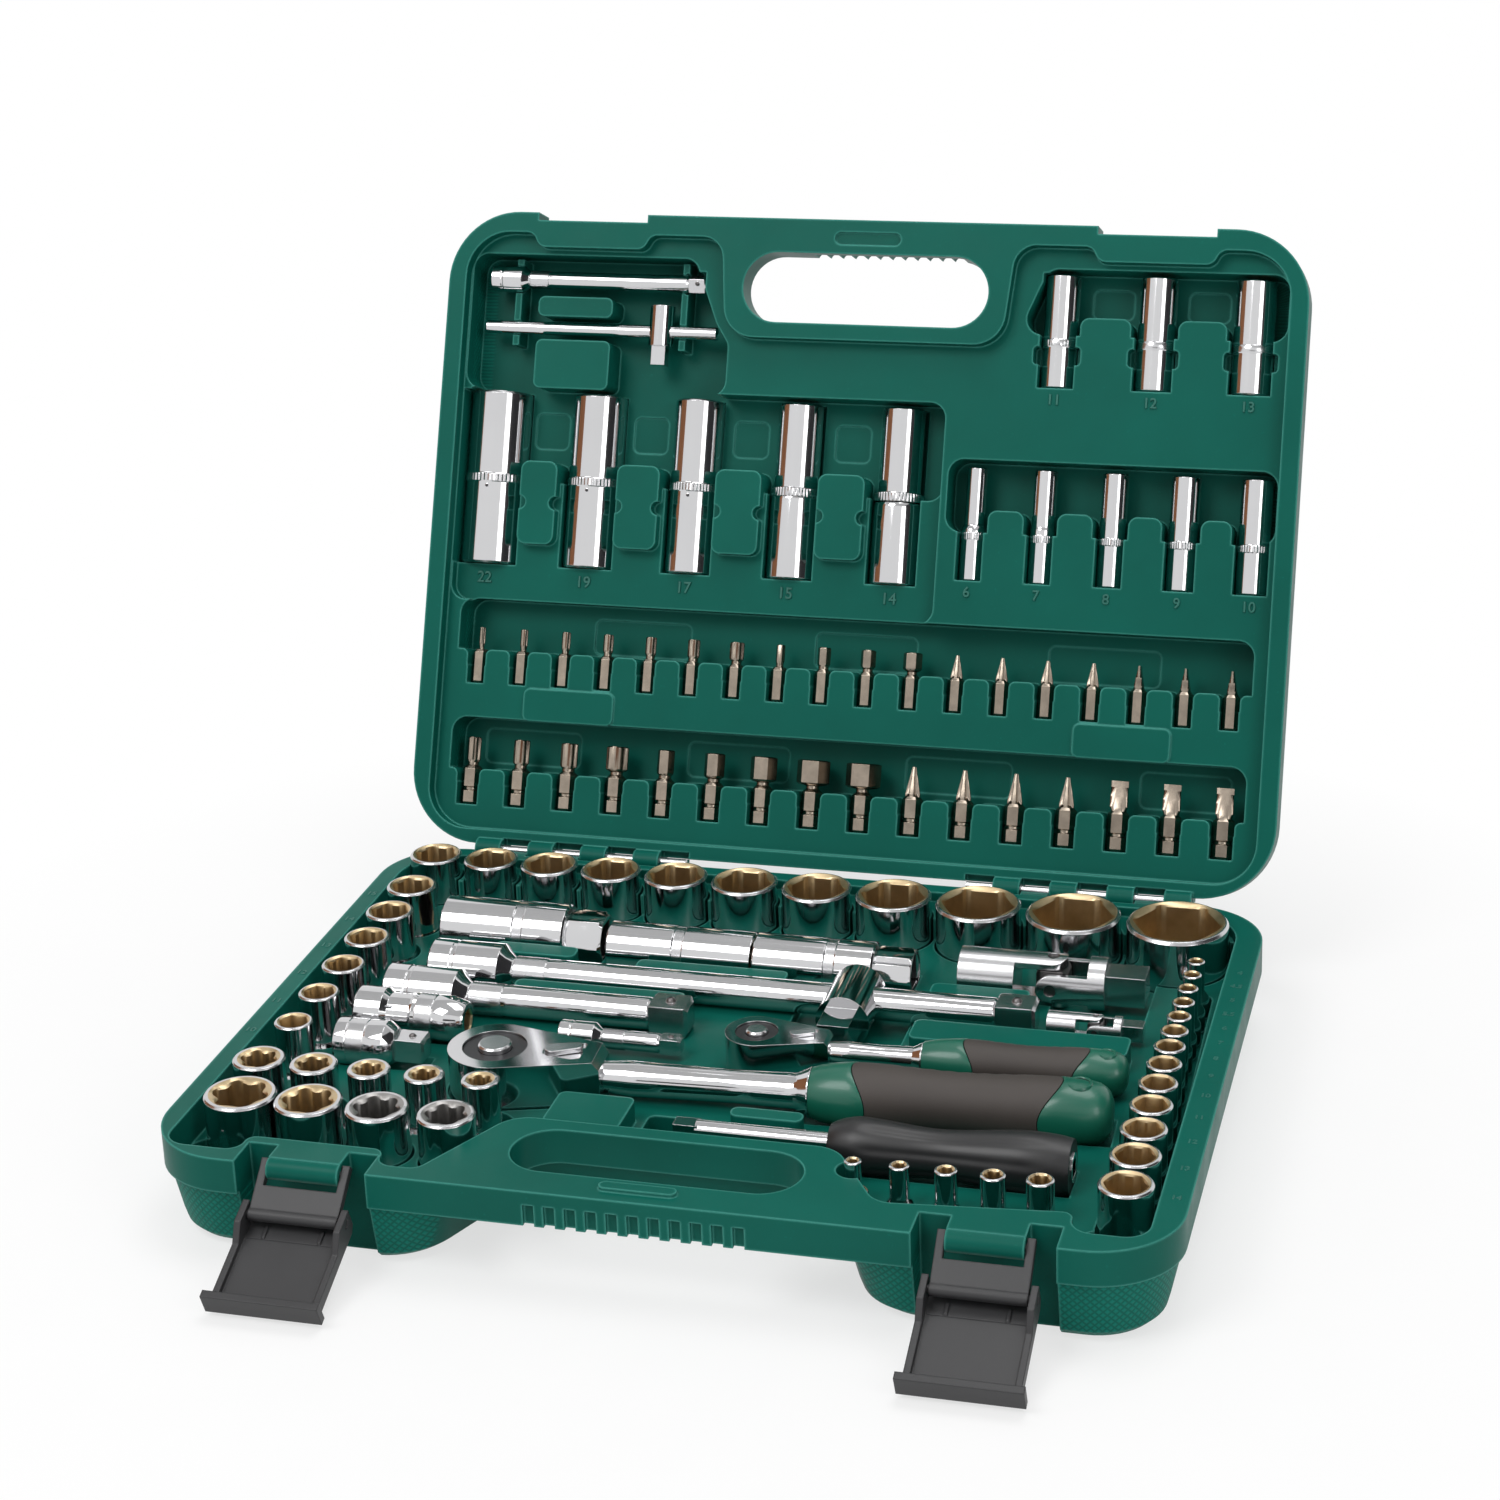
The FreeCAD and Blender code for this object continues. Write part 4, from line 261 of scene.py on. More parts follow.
def case_plastic(name, lid=False, edges=True):
    """Satin green moulding with a painted highlight on its rounded edges and a fine diamond texture on its
    foot, whose ridges carry a painted highlight.
    """
    made, tree, shader = new_tree(name)
    vector = object_coordinates(tree)
    outside, diamonds = foot_texture(tree, vector, lid)
    fine = noise_node(tree, vector, 1500.0, 3.0)
    broad = noise_node(tree, vector, 14.0, 4.0)
    flow = noise_node(tree, vector, 60.0, 3.0)
    height = math_node(tree, "MULTIPLY", diamonds, DIAMOND_SHARE)
    height = math_node(tree, "MULTIPLY_ADD", fine, FINE_SHARE, height)
    height = math_node(tree, "MULTIPLY_ADD", flow, FLOW_SHARE, height)
    specks = ranged(tree, noise_node(tree, vector, 800.0, 2.0), 0.0, 0.35, 0.66, 0.78)
    colour = mixed_colour(tree, specks, uneven(tree, broad, CASE_GREEN, 0.1), scaled(CASE_GREEN, 1.7))
    # Ridges of the foot's diamonds are coloured lighter: a painted highlight on their tops
    ridges = math_node(tree, "MULTIPLY", outside, ranged(tree, diamonds, 0.0, 0.75, 0.15, 0.8))
    colour = mixed_colour(tree, ridges, colour, scaled(CASE_GREEN, 1.9))
    if edges:
        # Paler green along rounded edges: a painted highlight
        colour = mixed_colour(tree, edge_mask(tree), colour, EDGE_HIGHLIGHT_GREEN)
    bevel = EDGE_BEVEL if edges else 0.0
    gloss = math_node(tree, "MULTIPLY_ADD", outside, FOOT_DULLER, ranged(tree, flow, *CASE_GLOSS))
    fill(tree, shader, {"Base Color": colour, "Roughness": gloss, "Specular IOR Level": CASE_SPECULAR,
                        "Normal": bumped(tree, height, CASE_BUMP, CASE_BUMP_DEPTH, bevel)})
    return made


# Colour and its spread, least and most roughness, metallic, grain, bump, bevel in mm, patches, coat
SURFACES = {
    "number_green": (scaled(CASE_GREEN, 1.15), 0.1, 0.39, 0.43, 0.0, 900.0, 0.06, 0.25),
    "latch_grey": ((0.03, 0.03, 0.032), 0.12, 0.462, 0.518, 0.0, 900.0, 0.08, 0.9),
    "chrome": ((0.62, 0.62, 0.63), 0.02, 0.072, 0.088, 1.0, 260.0, 0.002, 0.25),
    "satin_chrome": ((0.6, 0.6, 0.612), 0.04, 0.194, 0.226, 1.0, 420.0, 0.03, 0.45),
    "bronze": ((0.58, 0.45, 0.27), 0.14, 0.342, 0.398, 1.0, 700.0, 0.06, 0.2, 120.0),
    "grey_bore": ((0.34, 0.33, 0.32), 0.12, 0.396, 0.444, 1.0, 700.0, 0.06, 0.2, 120.0),
    "hinge_steel": ((0.62, 0.62, 0.63), 0.06, 0.23, 0.27, 1.0, 800.0, 0.05, 0.2),
    "joint_dark": ((0.16, 0.15, 0.15), 0.15, 0.336, 0.384, 1.0, 700.0, 0.06, 0.3),
    "bit_nickel": ((0.31, 0.262, 0.212), 0.14, 0.23, 0.27, 1.0, 900.0, 0.05, 0.15, 160.0),
    # Dark finish of the ratchet covers; also painted shade in the retaining holes and hang holes
    "dark_cover_and_hole_shade": ((0.035, 0.035, 0.038), 0.15, 0.376, 0.424, 0.3, 900.0, 0.05, 0.4),
    "grip_green": ((0.0065, 0.12, 0.075), 0.1, 0.316, 0.364, 0.0, 700.0, 0.05, 0.5, 25.0, 0.15),
    "grip_soft": ((0.052, 0.043, 0.038), 0.14, 0.592, 0.648, 0.0, 1600.0, 0.2, 0.4),
    "spinner_black": ((0.012, 0.012, 0.013), 0.2, 0.372, 0.428, 0.0, 1100.0, 0.08, 0.4),
}
CHROME, SATIN, NICKEL = "chrome", "satin_chrome", "bit_nickel"

MATERIALS = {
    "base_green": case_plastic("base_green"),
    "lid_green": case_plastic("lid_green", lid=True),
    "wall_green": case_plastic("wall_green", edges=False),
}
MATERIALS.update({name: surface(name, *values) for name, values in SURFACES.items()})


# Outlines of a ring: a radius in mm, or a function that gives it from the angle

TINY = 1e-6


def at(shape, angle):
    return shape(angle) if callable(shape) else shape


def folded(angle, step):
    """Angle from the middle of the nearest of several equal sides, one of which lies at 0."""
    return (angle + step / 2) % step - step / 2


def hexagon(across):
    return lambda angle: across / 2 / math.cos(folded(angle - math.pi / 6, math.pi / 3))


def square(side):
    return lambda angle: side / 2 / math.cos(folded(angle, math.pi / 2))


def star(outer, inner):
    return lambda angle: (outer + inner) / 2 + (outer - inner) / 2 * math.cos(6 * angle)


def plus(across, web):
    def radius(angle):
        turn = abs(folded(angle, math.pi / 2))
        return min(across / 2 / math.cos(turn), web / 2 / max(math.sin(turn), TINY))
    return radius


def blade(wide, thick):
    def radius(angle):
        to_edge = wide / 2 / max(abs(math.cos(angle)), TINY)
        return min(to_edge, thick / 2 / max(abs(math.sin(angle)), TINY))
    return radius


def knurl(radius, depth, count, row=0):
    """Ridges: every other point of the ring stands proud, and rows with odd numbers are offset."""
    step = 2 * math.pi / count
    return lambda angle: radius + (depth if (round(angle / step) + row) % 2 else 0.0)


def fluted(radius, depth, flutes):
    return lambda angle: radius - depth * (0.5 - 0.5 * math.cos(flutes * angle)) ** 3


def shifted(shape, by):
    return lambda angle: shape(angle) + by


def mixture(first, second, share):
    return lambda angle: at(first, angle) * (1 - share) + at(second, angle) * share


def band(look, *rings):
    """Rings (shape, height) that share a look."""
    return [(shape, height, look) for shape, height in rings]


# Drawn pieces: every turned tool is a stack of rings about its own axis

BALL_COUNT = 16
# Edges that turn by more are sharp, in degrees
SHARP_ANGLE, BIT_ANGLE, SOFT_ANGLE = 28.0, 24.0, 40.0
BOTH_ENDS = (True, True)
BOTTOM_ONLY = (True, False)


class Piece:
    """Surfaces gathered into one mesh, with a material per face."""

    def __init__(self):
        self.points, self.faces, self.looks, self.names = [], [], [], []

    def add(self, face, look):
        if look not in self.names:
            self.names.append(look)
        self.faces.append(tuple(face))
        self.looks.append(self.names.index(look))

    def loft(self, loops, looks, caps=None):
        """Bands from each loop of points to the next, in that loop's look.

        Without caps the last loop leads back to the first; with caps, they say which end is filled.
        """
        first, total, count = len(self.points), len(loops), len(loops[0])
        for loop in loops:
            self.points += loop
        for row in range(total - 1 if caps else total):
            low = first + row * count
            high = first + (row + 1) % total * count
            for i in range(count):
                j = (i + 1) % count
                self.add((low + i, low + j, high + j, high + i), looks[row])
        bottom, top = caps or (False, False)
        if bottom:
            self.add((first + i for i in reversed(range(count))), looks[0])
        if top:
            self.add((first + (total - 1) * count + i for i in range(count)), looks[-1])

    def stack(self, rings, axes, place, count, caps=None):
        """Loft of rings (shape, height, look), in millimetres about a local Z."""
        angles = [2 * math.pi * i / count for i in range(count)]
        loops = []
        for shape, height, _ in rings:
            places = [(at(shape, a) * math.cos(a), at(shape, a) * math.sin(a), at(height, a)) for a in angles]
            loops.append([axes @ (Vector(local) * MM) + place for local in places])
        self.loft(loops, [ring[2] for ring in rings], caps)

    def ball(self, centre, radius, look):
        leans = [2 * math.pi * i / BALL_COUNT for i in range(1, BALL_COUNT // 2)]
        rings = band(look, *((radius * math.sin(lean), -radius * math.cos(lean)) for lean in leans))
        self.stack(rings, UPRIGHT, centre, BALL_COUNT, BOTH_ENDS)

    def build(self, name, body, slot, *nodes, sharp=SHARP_ANGLE):
        mesh = bpy.data.meshes.new(name)
        mesh.from_pydata([tuple(point) for point in self.points], [], self.faces)
        for look in self.names:
            mesh.materials.append(MATERIALS[look])
        mesh.polygons.foreach_set("material_index", self.looks)
        mesh.update()
        mesh.validate()
        mesh.shade_smooth()
        mesh.set_sharp_from_angle(angle=math.radians(sharp))
        made = placed(name, mesh)
        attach(made, body)
        if nodes:
            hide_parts(*nodes)


# Sizes taken from the CAD's own meshes

MICRONS = 1e6
END_BAND = 0.05 * MM
LEAST_WALL = 0.25


def islands(name):
    """Point sets of a CAD node's separate solids, in metres."""
    mesh = NODES[name].data
    points = np.empty(len(mesh.vertices) * 3)
    mesh.vertices.foreach_get("co", points)
    corners = np.empty(len(mesh.loops), dtype=np.int64)
    mesh.loops.foreach_get("vertex_index", corners)
    steps = np.round(points.reshape(-1, 3) * MICRONS).astype(np.int64)
    whole, welded = np.unique(steps, axis=0, return_inverse=True)
    triangles = welded.reshape(-1)[corners].reshape(-1, 3)
    labels = np.arange(len(whole))
    while True:
        least = labels[triangles].min(axis=1)
        fresh = labels.copy()
        for column in range(3):
            np.minimum.at(fresh, triangles[:, column], least)
        fresh = fresh[fresh]
        if np.array_equal(fresh, labels):
            break
        labels = fresh
    return [whole[labels == label] / MICRONS for label in np.unique(labels)]


class Turned:
    """Sizes of a turned solid from its points: the place of its foot on the axis, and the rest in mm."""

    def __init__(self, points, axes):
        local = points @ np.array(axes)
        low, high = local.min(axis=0), local.max(axis=0)
        middle = (low + high) / 2
        away = np.hypot(local[:, 0] - middle[0], local[:, 1] - middle[1]) / MM
        at_foot = away[local[:, 2] < low[2] + END_BAND]
        at_mouth = away[local[:, 2] > high[2] - END_BAND]
        self.place = axes @ Vector((middle[0], middle[1], low[2]))
        self.length = (high[2] - low[2]) / MM
        self.foot = at_foot.max()
        self.drive = at_foot.min() * math.sqrt(2)
        self.rim = at_mouth.max()
        inner = at_mouth[at_mouth < self.rim - LEAST_WALL]
        self.mouth = inner.max() if len(inner) else 0.0


def drawn_solids(node, body, axes, draw, *values, slot="tool_chrome", sharp=SHARP_ANGLE):
    """One piece of a node's solids, each drawn from its own sizes; returns what the drawings give."""
    piece = Piece()
    found = [draw(piece, Turned(points, axes), *values) for points in islands(node)]
    piece.build("turned_" + node, body, slot, node, sharp=sharp)
    return found


def axis_of(node):
    """Left end of a node that lies along X, on its axis, and its length in mm."""
    low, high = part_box(node)
    middle = (low + high) / 2
    return Vector((low.x, middle.y, middle.z)), (high.x - low.x) / MM


# Sockets

LEAST_STEP = 0.2
NECK_STEPS = 6
RING_FILLET = 0.5
MOUTH_BEVEL = 1.4
# What the CAD's mouths have over the stated size, in mm
HALF_FIT, QUARTER_FIT = 0.2, 0.1
# Depth of the hexagon as a share of the length, fit, and points round
HEX_SOCKETS = {"half_sockets": (0.58, HALF_FIT, 72), "quarter_sockets": (0.5, QUARTER_FIT, 48)}
# Star sockets: valley of the mouth, corner radius of an E size, sizes between which the bores are grey
STAR_VALLEY, STAR_CORNER = 0.76, 0.92
GREY_STARS = (17, 21)
# Deep sockets: length that parts large from small, in mm
LARGE_LENGTH = 60.0
# Their knurled ring: share of the length where it starts, width and height
LARGE_RING, SMALL_RING = (0.475, 3.2, 0.35), (0.37, 2.6, 0.3)
# Their retaining holes, drawn as dark balls whose caps are painted shade in place of the holes: share of the
# length, depth of the ball's centre under the surface, radius
HOLE_SHARE, HOLE_DEPTH, HOLE_RADIUS = 0.445, 0.9, 1.15


def turned_socket(piece, size, shape, depth, axes, count, bore, ring=None):
    """A socket with chamfered ends, a soft neck, a bevelled mouth and a square drive hole."""
    length, foot, rim, mouth = size.length, size.foot, size.rim, size.mouth
    edge = 0.05 * rim + 0.25
    neck = 0.5 * length
    drive = square(size.drive)
    rings = band(SATIN, (drive, 0.0), (foot - edge, 0.0)) + band(CHROME, (foot, edge))
    if foot - rim > LEAST_STEP:
        soft = min(2.6 * (foot - rim), 0.14 * length) + 0.6
        for step in range(NECK_STEPS + 1):
            share = step / NECK_STEPS
            ease = share * share * (3 - 2 * share)
            rings += band(CHROME, (foot + (rim - foot) * ease, neck - soft + soft * share))
    if ring:
        start, wide, proud = ring
        ridges = knurl(max(rim, foot - 0.2) + 0.1, proud, count)
        rings += band(CHROME, (rim if start > neck else foot, start - RING_FILLET))
        rings += band(SATIN, (ridges, start))
        rings += band(CHROME, (ridges, start + wide), (rim, start + wide + RING_FILLET))
    lip = mouth + 0.35 * (rim - mouth)
    rings += band(SATIN, (rim, length - edge), (rim - 0.7 * edge, length - 0.15))
    rings += band(bore, (lip, length), (mixture(shape, mouth, 0.5), length - 0.6),
                  (shape, length - MOUTH_BEVEL), (shape, length - depth), (drive, length - depth - 0.4))
    piece.stack(rings, axes, size.place, count)


def hex_socket(piece, size, share, fit, count):
    """Socket that stands in the base; returns its size in mm and its place."""
    across = size.mouth * math.sqrt(3)
    turned_socket(piece, size, hexagon(across), share * size.length, UPRIGHT, count, "bronze")
    return across - fit, size.place


def star_socket(piece, size):
    mouth = star(size.mouth, STAR_VALLEY * size.mouth)
    number = 2 * size.mouth / STAR_CORNER
    bore = "grey_bore" if GREY_STARS[0] < number < GREY_STARS[1] else "bronze"
    turned_socket(piece, size, mouth, 0.5 * size.length, UPRIGHT, 72, bore)


def deep_socket(piece, size):
    """Socket with a knurled ring, up the lid; returns its size in mm, its place and whether it is large."""
    across = size.mouth * math.sqrt(3)
    large = size.length > LARGE_LENGTH
    share, wide, proud = LARGE_RING if large else SMALL_RING
    ring = (share * size.length, wide, proud)
    count = 96 if large else 72
    turned_socket(piece, size, hexagon(across), 0.7 * size.length, LID_UP, count, "bronze", ring)
    if large:
        # Dark ball caps at the retaining holes: painted shade
        for side in (-1, 1):
            hole = Vector((0, side * (size.rim - HOLE_DEPTH), HOLE_SHARE * size.length))
            piece.ball(size.place + LID_UP @ (hole * MM), HOLE_RADIUS, "dark_cover_and_hole_shade")
    return across - (HALF_FIT if large else QUARTER_FIT), size.place, large


# Bits

LONG_BIT = 27.0
LARGE_SHANK, SMALL_SHANK = 17.0, 15.0
# Shares of the hexagon's width
WAIST = 0.36
GROOVE_FLOOR = 0.44
BLADE_WIDTH = 0.92
# Places of the rings on the tips, as shares of their length
CROSS_SHARES = (0.1, 0.4, 0.7, 1.0)
SLOT_SHARES = (0.15, 0.5, 0.8, 1.0)


def bit_tip(kind, size, across, shank, large):
    """Rings of a bit's tip, from its shank up."""
    length, corner = size.length, size.rim
    if kind in ("star", "hex"):
        tip = star(corner, 0.72 * corner) if kind == "star" else hexagon(corner * math.sqrt(3))
        neck = min(WAIST * across, 0.8 * corner)
        return [(neck, shank + 0.4), (neck, shank + 1.6), (mixture(tip, neck, 0.3), shank + 2.2),
                (tip, shank + 3.0), (tip, length - 0.5), (mixture(tip, 0.7 * corner, 0.6), length)]
    rings = []
    for share in CROSS_SHARES if kind == "cross" else SLOT_SHARES:
        if kind == "cross":
            web = max(0.24 * across * (1 - 0.5 * share), 0.5)
            shape = plus(across * (0.86 - 0.66 * share), web)
        else:
            wide, thick = BLADE_WIDTH * across, across * (0.7 - 0.56 * min(1.0, share * 1.1))
            shape = blade(wide, thick) if large else blade(thick, wide)
        rings.append((shape, shank + share * (length - shank)))
    return rings


def turned_bit(piece, size, kind):
    """Bit with a chamfered hex shank, a necked waist and a tip as wide as the CAD's."""
    large = size.length > LONG_BIT
    shank = LARGE_SHANK if large else SMALL_SHANK
    across = size.foot * math.sqrt(3)
    hexed = hexagon(across)
    rings = [(mixture(hexed, 0.3 * across, 0.35), 0.0), (hexed, 0.8)]
    if large:
        groove = 0.34 * shank
        floor = GROOVE_FLOOR * across
        rings += [(hexed, groove), (floor, groove + 0.5), (floor, groove + 1.5), (hexed, groove + 2.0)]
    rings += [(hexed, shank - 1.2), (mixture(hexed, WAIST * across, 0.7), shank)]
    rings += bit_tip(kind, size, across, shank, large)
    piece.stack(band(NICKEL, *rings), LID_UP, size.place, 48, BOTH_ENDS)


# Extension bars and other turned tools along X

COUNT = 72
# Female 1/2 inch drive: side, depth and the bevel of its mouth
DRIVE_HOLE, DRIVE_DEPTH, DRIVE_BEVEL = 13.0, 16.0, 0.8
KNURL_GROOVE = 0.15
# Socket end's radius and length, shank radius, drive square and its length, length of the knurl
HALF_BAR = (11.3, 31.0, 6.6, 12.7, 16.0, 14.0)
QUARTER_BAR = (6.0, 15.0, 3.9, 6.35, 8.5, 9.0)
EXTENSIONS = {"half_extension_long": HALF_BAR, "half_extension_short": HALF_BAR,
              "quarter_extension_short": QUARTER_BAR, "quarter_extension_long": QUARTER_BAR}
LID_EXTENSION = "quarter_extension_long"
# Radius, hexagon of the mouth, and whether a hexagon stands on the drive end
PLUGS = {"plug_socket_large": (13.5, 21.0, True), "plug_socket_small": (11.0, 16.0, False),
         "plug_socket_medium": (11.5, 18.0, True)}
PLUG_NUT = 16.0
PLUG_MOUTH = 9.6


def knurl_band(start, wide, radius, depth):
    """Rings of a diamond knurl between two shallow grooves."""
    rows = max(4, int(wide / (2 * math.pi * radius / COUNT)))
    groove = radius - KNURL_GROOVE
    rings = [(groove, start)]
    for row in range(rows + 1):
        rings.append((knurl(radius, depth, COUNT, row), start + 0.2 + (wide - 0.4) * row / rows))
    return band(SATIN, *rings) + band(CHROME, (groove, start + wide))


def turned_tool(node, rings, caps=BOTH_ENDS, balls=None):
    """Tool along X; balls on its drive are given by (mm from the left end, up, square, radius)."""
    place, _ = axis_of(node)
    piece = Piece()
    piece.stack(rings, ALONG_X, place, COUNT, caps)
    if balls:
        x, up, drive, radius = balls
        for face in (up, -up):
            piece.ball(place + Vector((x, 0, 0)) * MM + face * (0.47 * drive * MM), radius, "joint_dark")
    piece.build("turned_" + node, node, "tool_chrome", node)


def extension(node):
    end, end_length, shank, drive, drive_length, knurled = EXTENSIONS[node]
    _, length = axis_of(node)
    collar = length - drive_length
    hole, tip = square(drive + 0.3), square(drive)
    edge = 0.07 * end
    groove, groove_end = 0.3 * end_length, 0.36 * end_length
    rings = band(SATIN, (hole, drive_length), (hole, DRIVE_BEVEL), (0.78 * end, 0.0))
    rings += band(CHROME, (end - edge, 0.0), (end, edge), (end, groove), (end - 0.25, groove + 0.4),
                  (end - 0.25, groove_end), (end, groove_end + 0.4), (end, end_length - 0.6),
                  (end - 0.5, end_length))
    step = end - shank
    neck = end_length + 0.8 * step
    rings += band(CHROME, (shank + 0.4 * step, end_length + 0.4 * step), (shank + 0.1, neck),
                  (shank - 0.35, neck + 0.6))
    rings += knurl_band(neck + 1.2, knurled, shank - 0.1, 0.28)
    rings += band(CHROME, (shank - 0.2, neck + knurled + 2.0), (shank, neck + knurled + 4.0),
                  (shank, collar - 1.0))
    rings += band(SATIN, (shank - 0.6, collar), (mixture(tip, shank - 0.6, 0.2), collar),
                  (tip, collar + 0.9), (tip, length - 1.2),
                  (mixture(square(0.8 * drive), 0.42 * drive, 0.4), length))
    up = LID_UP @ Vector((0, -1, 0)) if node == LID_EXTENSION else Vector((0, 0, 1))
    turned_tool(node, rings, balls=(length - 0.5 * drive_length, up, drive, 0.17 * drive))


def plug_socket(node):
    radius, across, hexed = PLUGS[node]
    _, length = axis_of(node)
    hole, mouth = square(DRIVE_HOLE), hexagon(across)
    body_end = length - (PLUG_NUT if hexed else 0.0)
    groove = 0.45 * length
    rings = band(SATIN, (hole, length - 1.0))
    rings += band("grey_bore", (hole, 0.72 * length), (mouth, 0.7 * length))
    rings += band("bronze", (mouth, 1.6)) + band(SATIN, (across / math.sqrt(3) + 0.2, 0.0))
    rings += band(CHROME, (radius - 0.6, 0.0), (radius, 0.6), (radius, groove))
    rings += band(SATIN, (radius - 0.35, groove + 0.5))
    rings += band(CHROME, (radius - 0.35, groove + 4.5), (radius, groove + 5.0), (radius, body_end - 0.8))
    rings += band(SATIN, (radius - 0.8, body_end))
    if hexed:
        nut = hexagon(1.5 * radius)
        rings += band(CHROME, (mixture(nut, 0.76 * radius, 0.5), body_end + 0.01), (nut, body_end + 1.2),
                      (nut, length - 1.4))
        rings += band(SATIN, (mixture(nut, 0.74 * radius, 0.8), length))
    rings += band(SATIN, (PLUG_MOUTH, length))
    turned_tool(node, rings, caps=None)


def bit_holder():
    _, length = axis_of("bit_holder")
    radius = 8.6
    foot, sleeve = 1.22 * radius, 1.1 * radius
    hole, mouth = square(DRIVE_HOLE), hexagon(8.15)
    rings = band(SATIN, (hole, DRIVE_DEPTH), (hole, DRIVE_BEVEL), (9.4, 0.0))
    rings += band(CHROME, (1.16 * radius, 0.0), (foot, 0.7), (foot, 0.25 * length), (radius, 0.3 * length),
                  (radius, 0.5 * length), (sleeve, 0.53 * length))
    rings += knurl_band(0.56 * length, 0.16 * length, 1.08 * radius, 0.25)
    rings += band(CHROME, (sleeve, 0.75 * length), (sleeve, 0.86 * length), (0.9 * radius, 0.985 * length))
    rings += band(SATIN, (0.84 * radius, length))
    rings += band("bronze", (4.9, length), (mouth, length - 0.6), (mouth, 0.62 * length))
    turned_tool("bit_holder", rings)


def drive_adapter():
    _, length = axis_of("drive_adapter")
    radius, side = 9.5, 9.5
    collar = length - 12.5
    hole, tip = square(DRIVE_HOLE), square(side)
    rings = band(SATIN, (hole, DRIVE_DEPTH), (hole, DRIVE_BEVEL), (9.2, 0.3))
    rings += band(CHROME, (radius - 0.1, 0.3), (radius, 0.8), (radius, 0.2 * collar))
    rings += knurl_band(0.22 * collar, 0.3 * collar, radius - 0.15, 0.15)
    rings += band(CHROME, (radius, 0.56 * collar), (radius, 0.84 * collar), (0.76 * radius, collar - 0.4))
    rings += band(SATIN, (0.7 * radius, collar), (tip, collar + 0.2), (tip, length - 1.0),
                  (mixture(square(0.82 * side), 0.42 * side, 0.4), length))
    turned_tool("drive_adapter", rings, balls=(length - 6.0, Vector((0, 0, -1)), side, 1.5))


# Soft handles

# In mm from the spin axis: grip, sleeve, sleeve's end, end; then full radius, hang hole's place and radius
RATCHETS = {"half": (125.0, 144.0, 219.0, 239.5, 13.0, 227.0, 3.8),
            "quarter": (66.0, 84.0, 129.0, 145.0, 9.3, 137.0, 2.6)}
HANDLE_COUNT, EYE_COUNT = 64, 40
# Places of the core's rings, as shares of the way to the sleeve and from it to the end
FRONT_SHARES = (0.0, 0.08, 0.2, 0.4, 0.6, 0.8, 0.96)
REAR_SHARES = (0.05, 0.2, 0.4, 0.6, 0.75, 0.86, 0.94, 1.0)
# Sleeve: gap at its ends, sink, steps along it, the steps between which every other one is a groove
SLEEVE_GAP = 0.35
SLEEVE_SINK = 0.12
SLEEVE_STEPS = 22
GROOVES = (3, 19)
GROOVE_SHARE = 0.22 / 13
# Spinner: steps along it, points and flutes round it, depth of a flute and length of its fade
SPINNER_STEPS, SPINNER_COUNT, FLUTES = 44, 96, 8
FLUTE_DEPTH = 0.45
FLUTE_FADE = 6.0


def smooth_radius(stations, x):
    """Radius at x on a smooth line through (x, radius) stations."""
    for i in range(len(stations) - 1):
        (x0, r0), (x1, r1) = stations[i], stations[i + 1]
        if x <= x1:
            before = stations[max(i - 1, 0)]
            after = stations[min(i + 2, len(stations) - 1)]
            m0 = (r1 - before[1]) / max(x1 - before[0], TINY) * (x1 - x0)
            m1 = (after[1] - r0) / max(after[0] - x0, TINY) * (x1 - x0)
            t = (x - x0) / (x1 - x0)
            return ((2 * t ** 3 - 3 * t ** 2 + 1) * r0 + (t ** 3 - 2 * t ** 2 + t) * m0
                    + (-2 * t ** 3 + 3 * t ** 2) * r1 + (t ** 3 - t ** 2) * m1)
    return stations[-1][1]


class Handle:
    """Line of a ratchet's handle, from its spin axis past its selector, and the wavy ends of its sleeve."""

    def __init__(self, family):
        self.family = family
        self.body = family + "_ratchet"
        self.place = Vector(JOINTS[self.body + "_spin"]["pos_m"])
        along = (Vector(JOINTS[self.body + "_select"]["pos_m"]) - self.place).normalized()
        side = Vector((-along.y, along.x, 0))
        self.axes = Matrix((along, side, Vector((0, 0, 1)))).transposed() @ ALONG_X
        grip, self.sleeve, self.sleeve_end, self.end, self.full, self.hole, self.bore = RATCHETS[family]
        full, end = self.full, self.end
        self.start = grip + 0.1
        self.wave = 0.32 * full
        self.stations = [(self.start, 0.74 * full), (grip + 5, 0.86 * full), (self.sleeve, 0.985 * full),
                         ((self.sleeve + self.sleeve_end) / 2, 0.91 * full), (self.sleeve_end, 0.99 * full),
                         (end - 0.42 * full, 0.89 * full), (end - 0.1 * full, 0.66 * full),
                         (end, 0.42 * full)]

    def front(self, angle):
        return self.sleeve + 0.8 * self.wave * math.cos(2 * angle)

    def rear(self, angle):
        return self.sleeve_end - 0.5 * self.wave - self.wave * math.cos(2 * angle)

    def skin(self, x, sink=0.0):
        """Ring at x, sunk into the handle's surface."""
        return (lambda angle: smooth_radius(self.stations, at(x, angle)) - sink), x

    def draw(self, part, look, slot, rings):
        piece = Piece()
        piece.stack(band(look, *rings), self.axes, self.place, HANDLE_COUNT, BOTH_ENDS)
        node = "%s_%s" % (self.body, part)
        piece.build("moulded_%s_%s" % (self.family, part), self.body, slot, node, sharp=SOFT_ANGLE)


def grip_core(handle):
    """Green core with a shallow recess for the sleeve."""
    front, rear, skin = handle.front, handle.rear, handle.skin
    rings = [(0.372 * handle.full, handle.start)]
    rings += [skin(mixture(handle.start, front, share)) for share in FRONT_SHARES]
    rings += [skin(front, 0.25), skin(front, 1.6), skin(rear, 1.6), skin(rear, 0.25)]
    rings += [skin(mixture(rear, handle.end, share)) for share in REAR_SHARES]
    handle.draw("grip", "grip_green", "grip_plastic", rings)


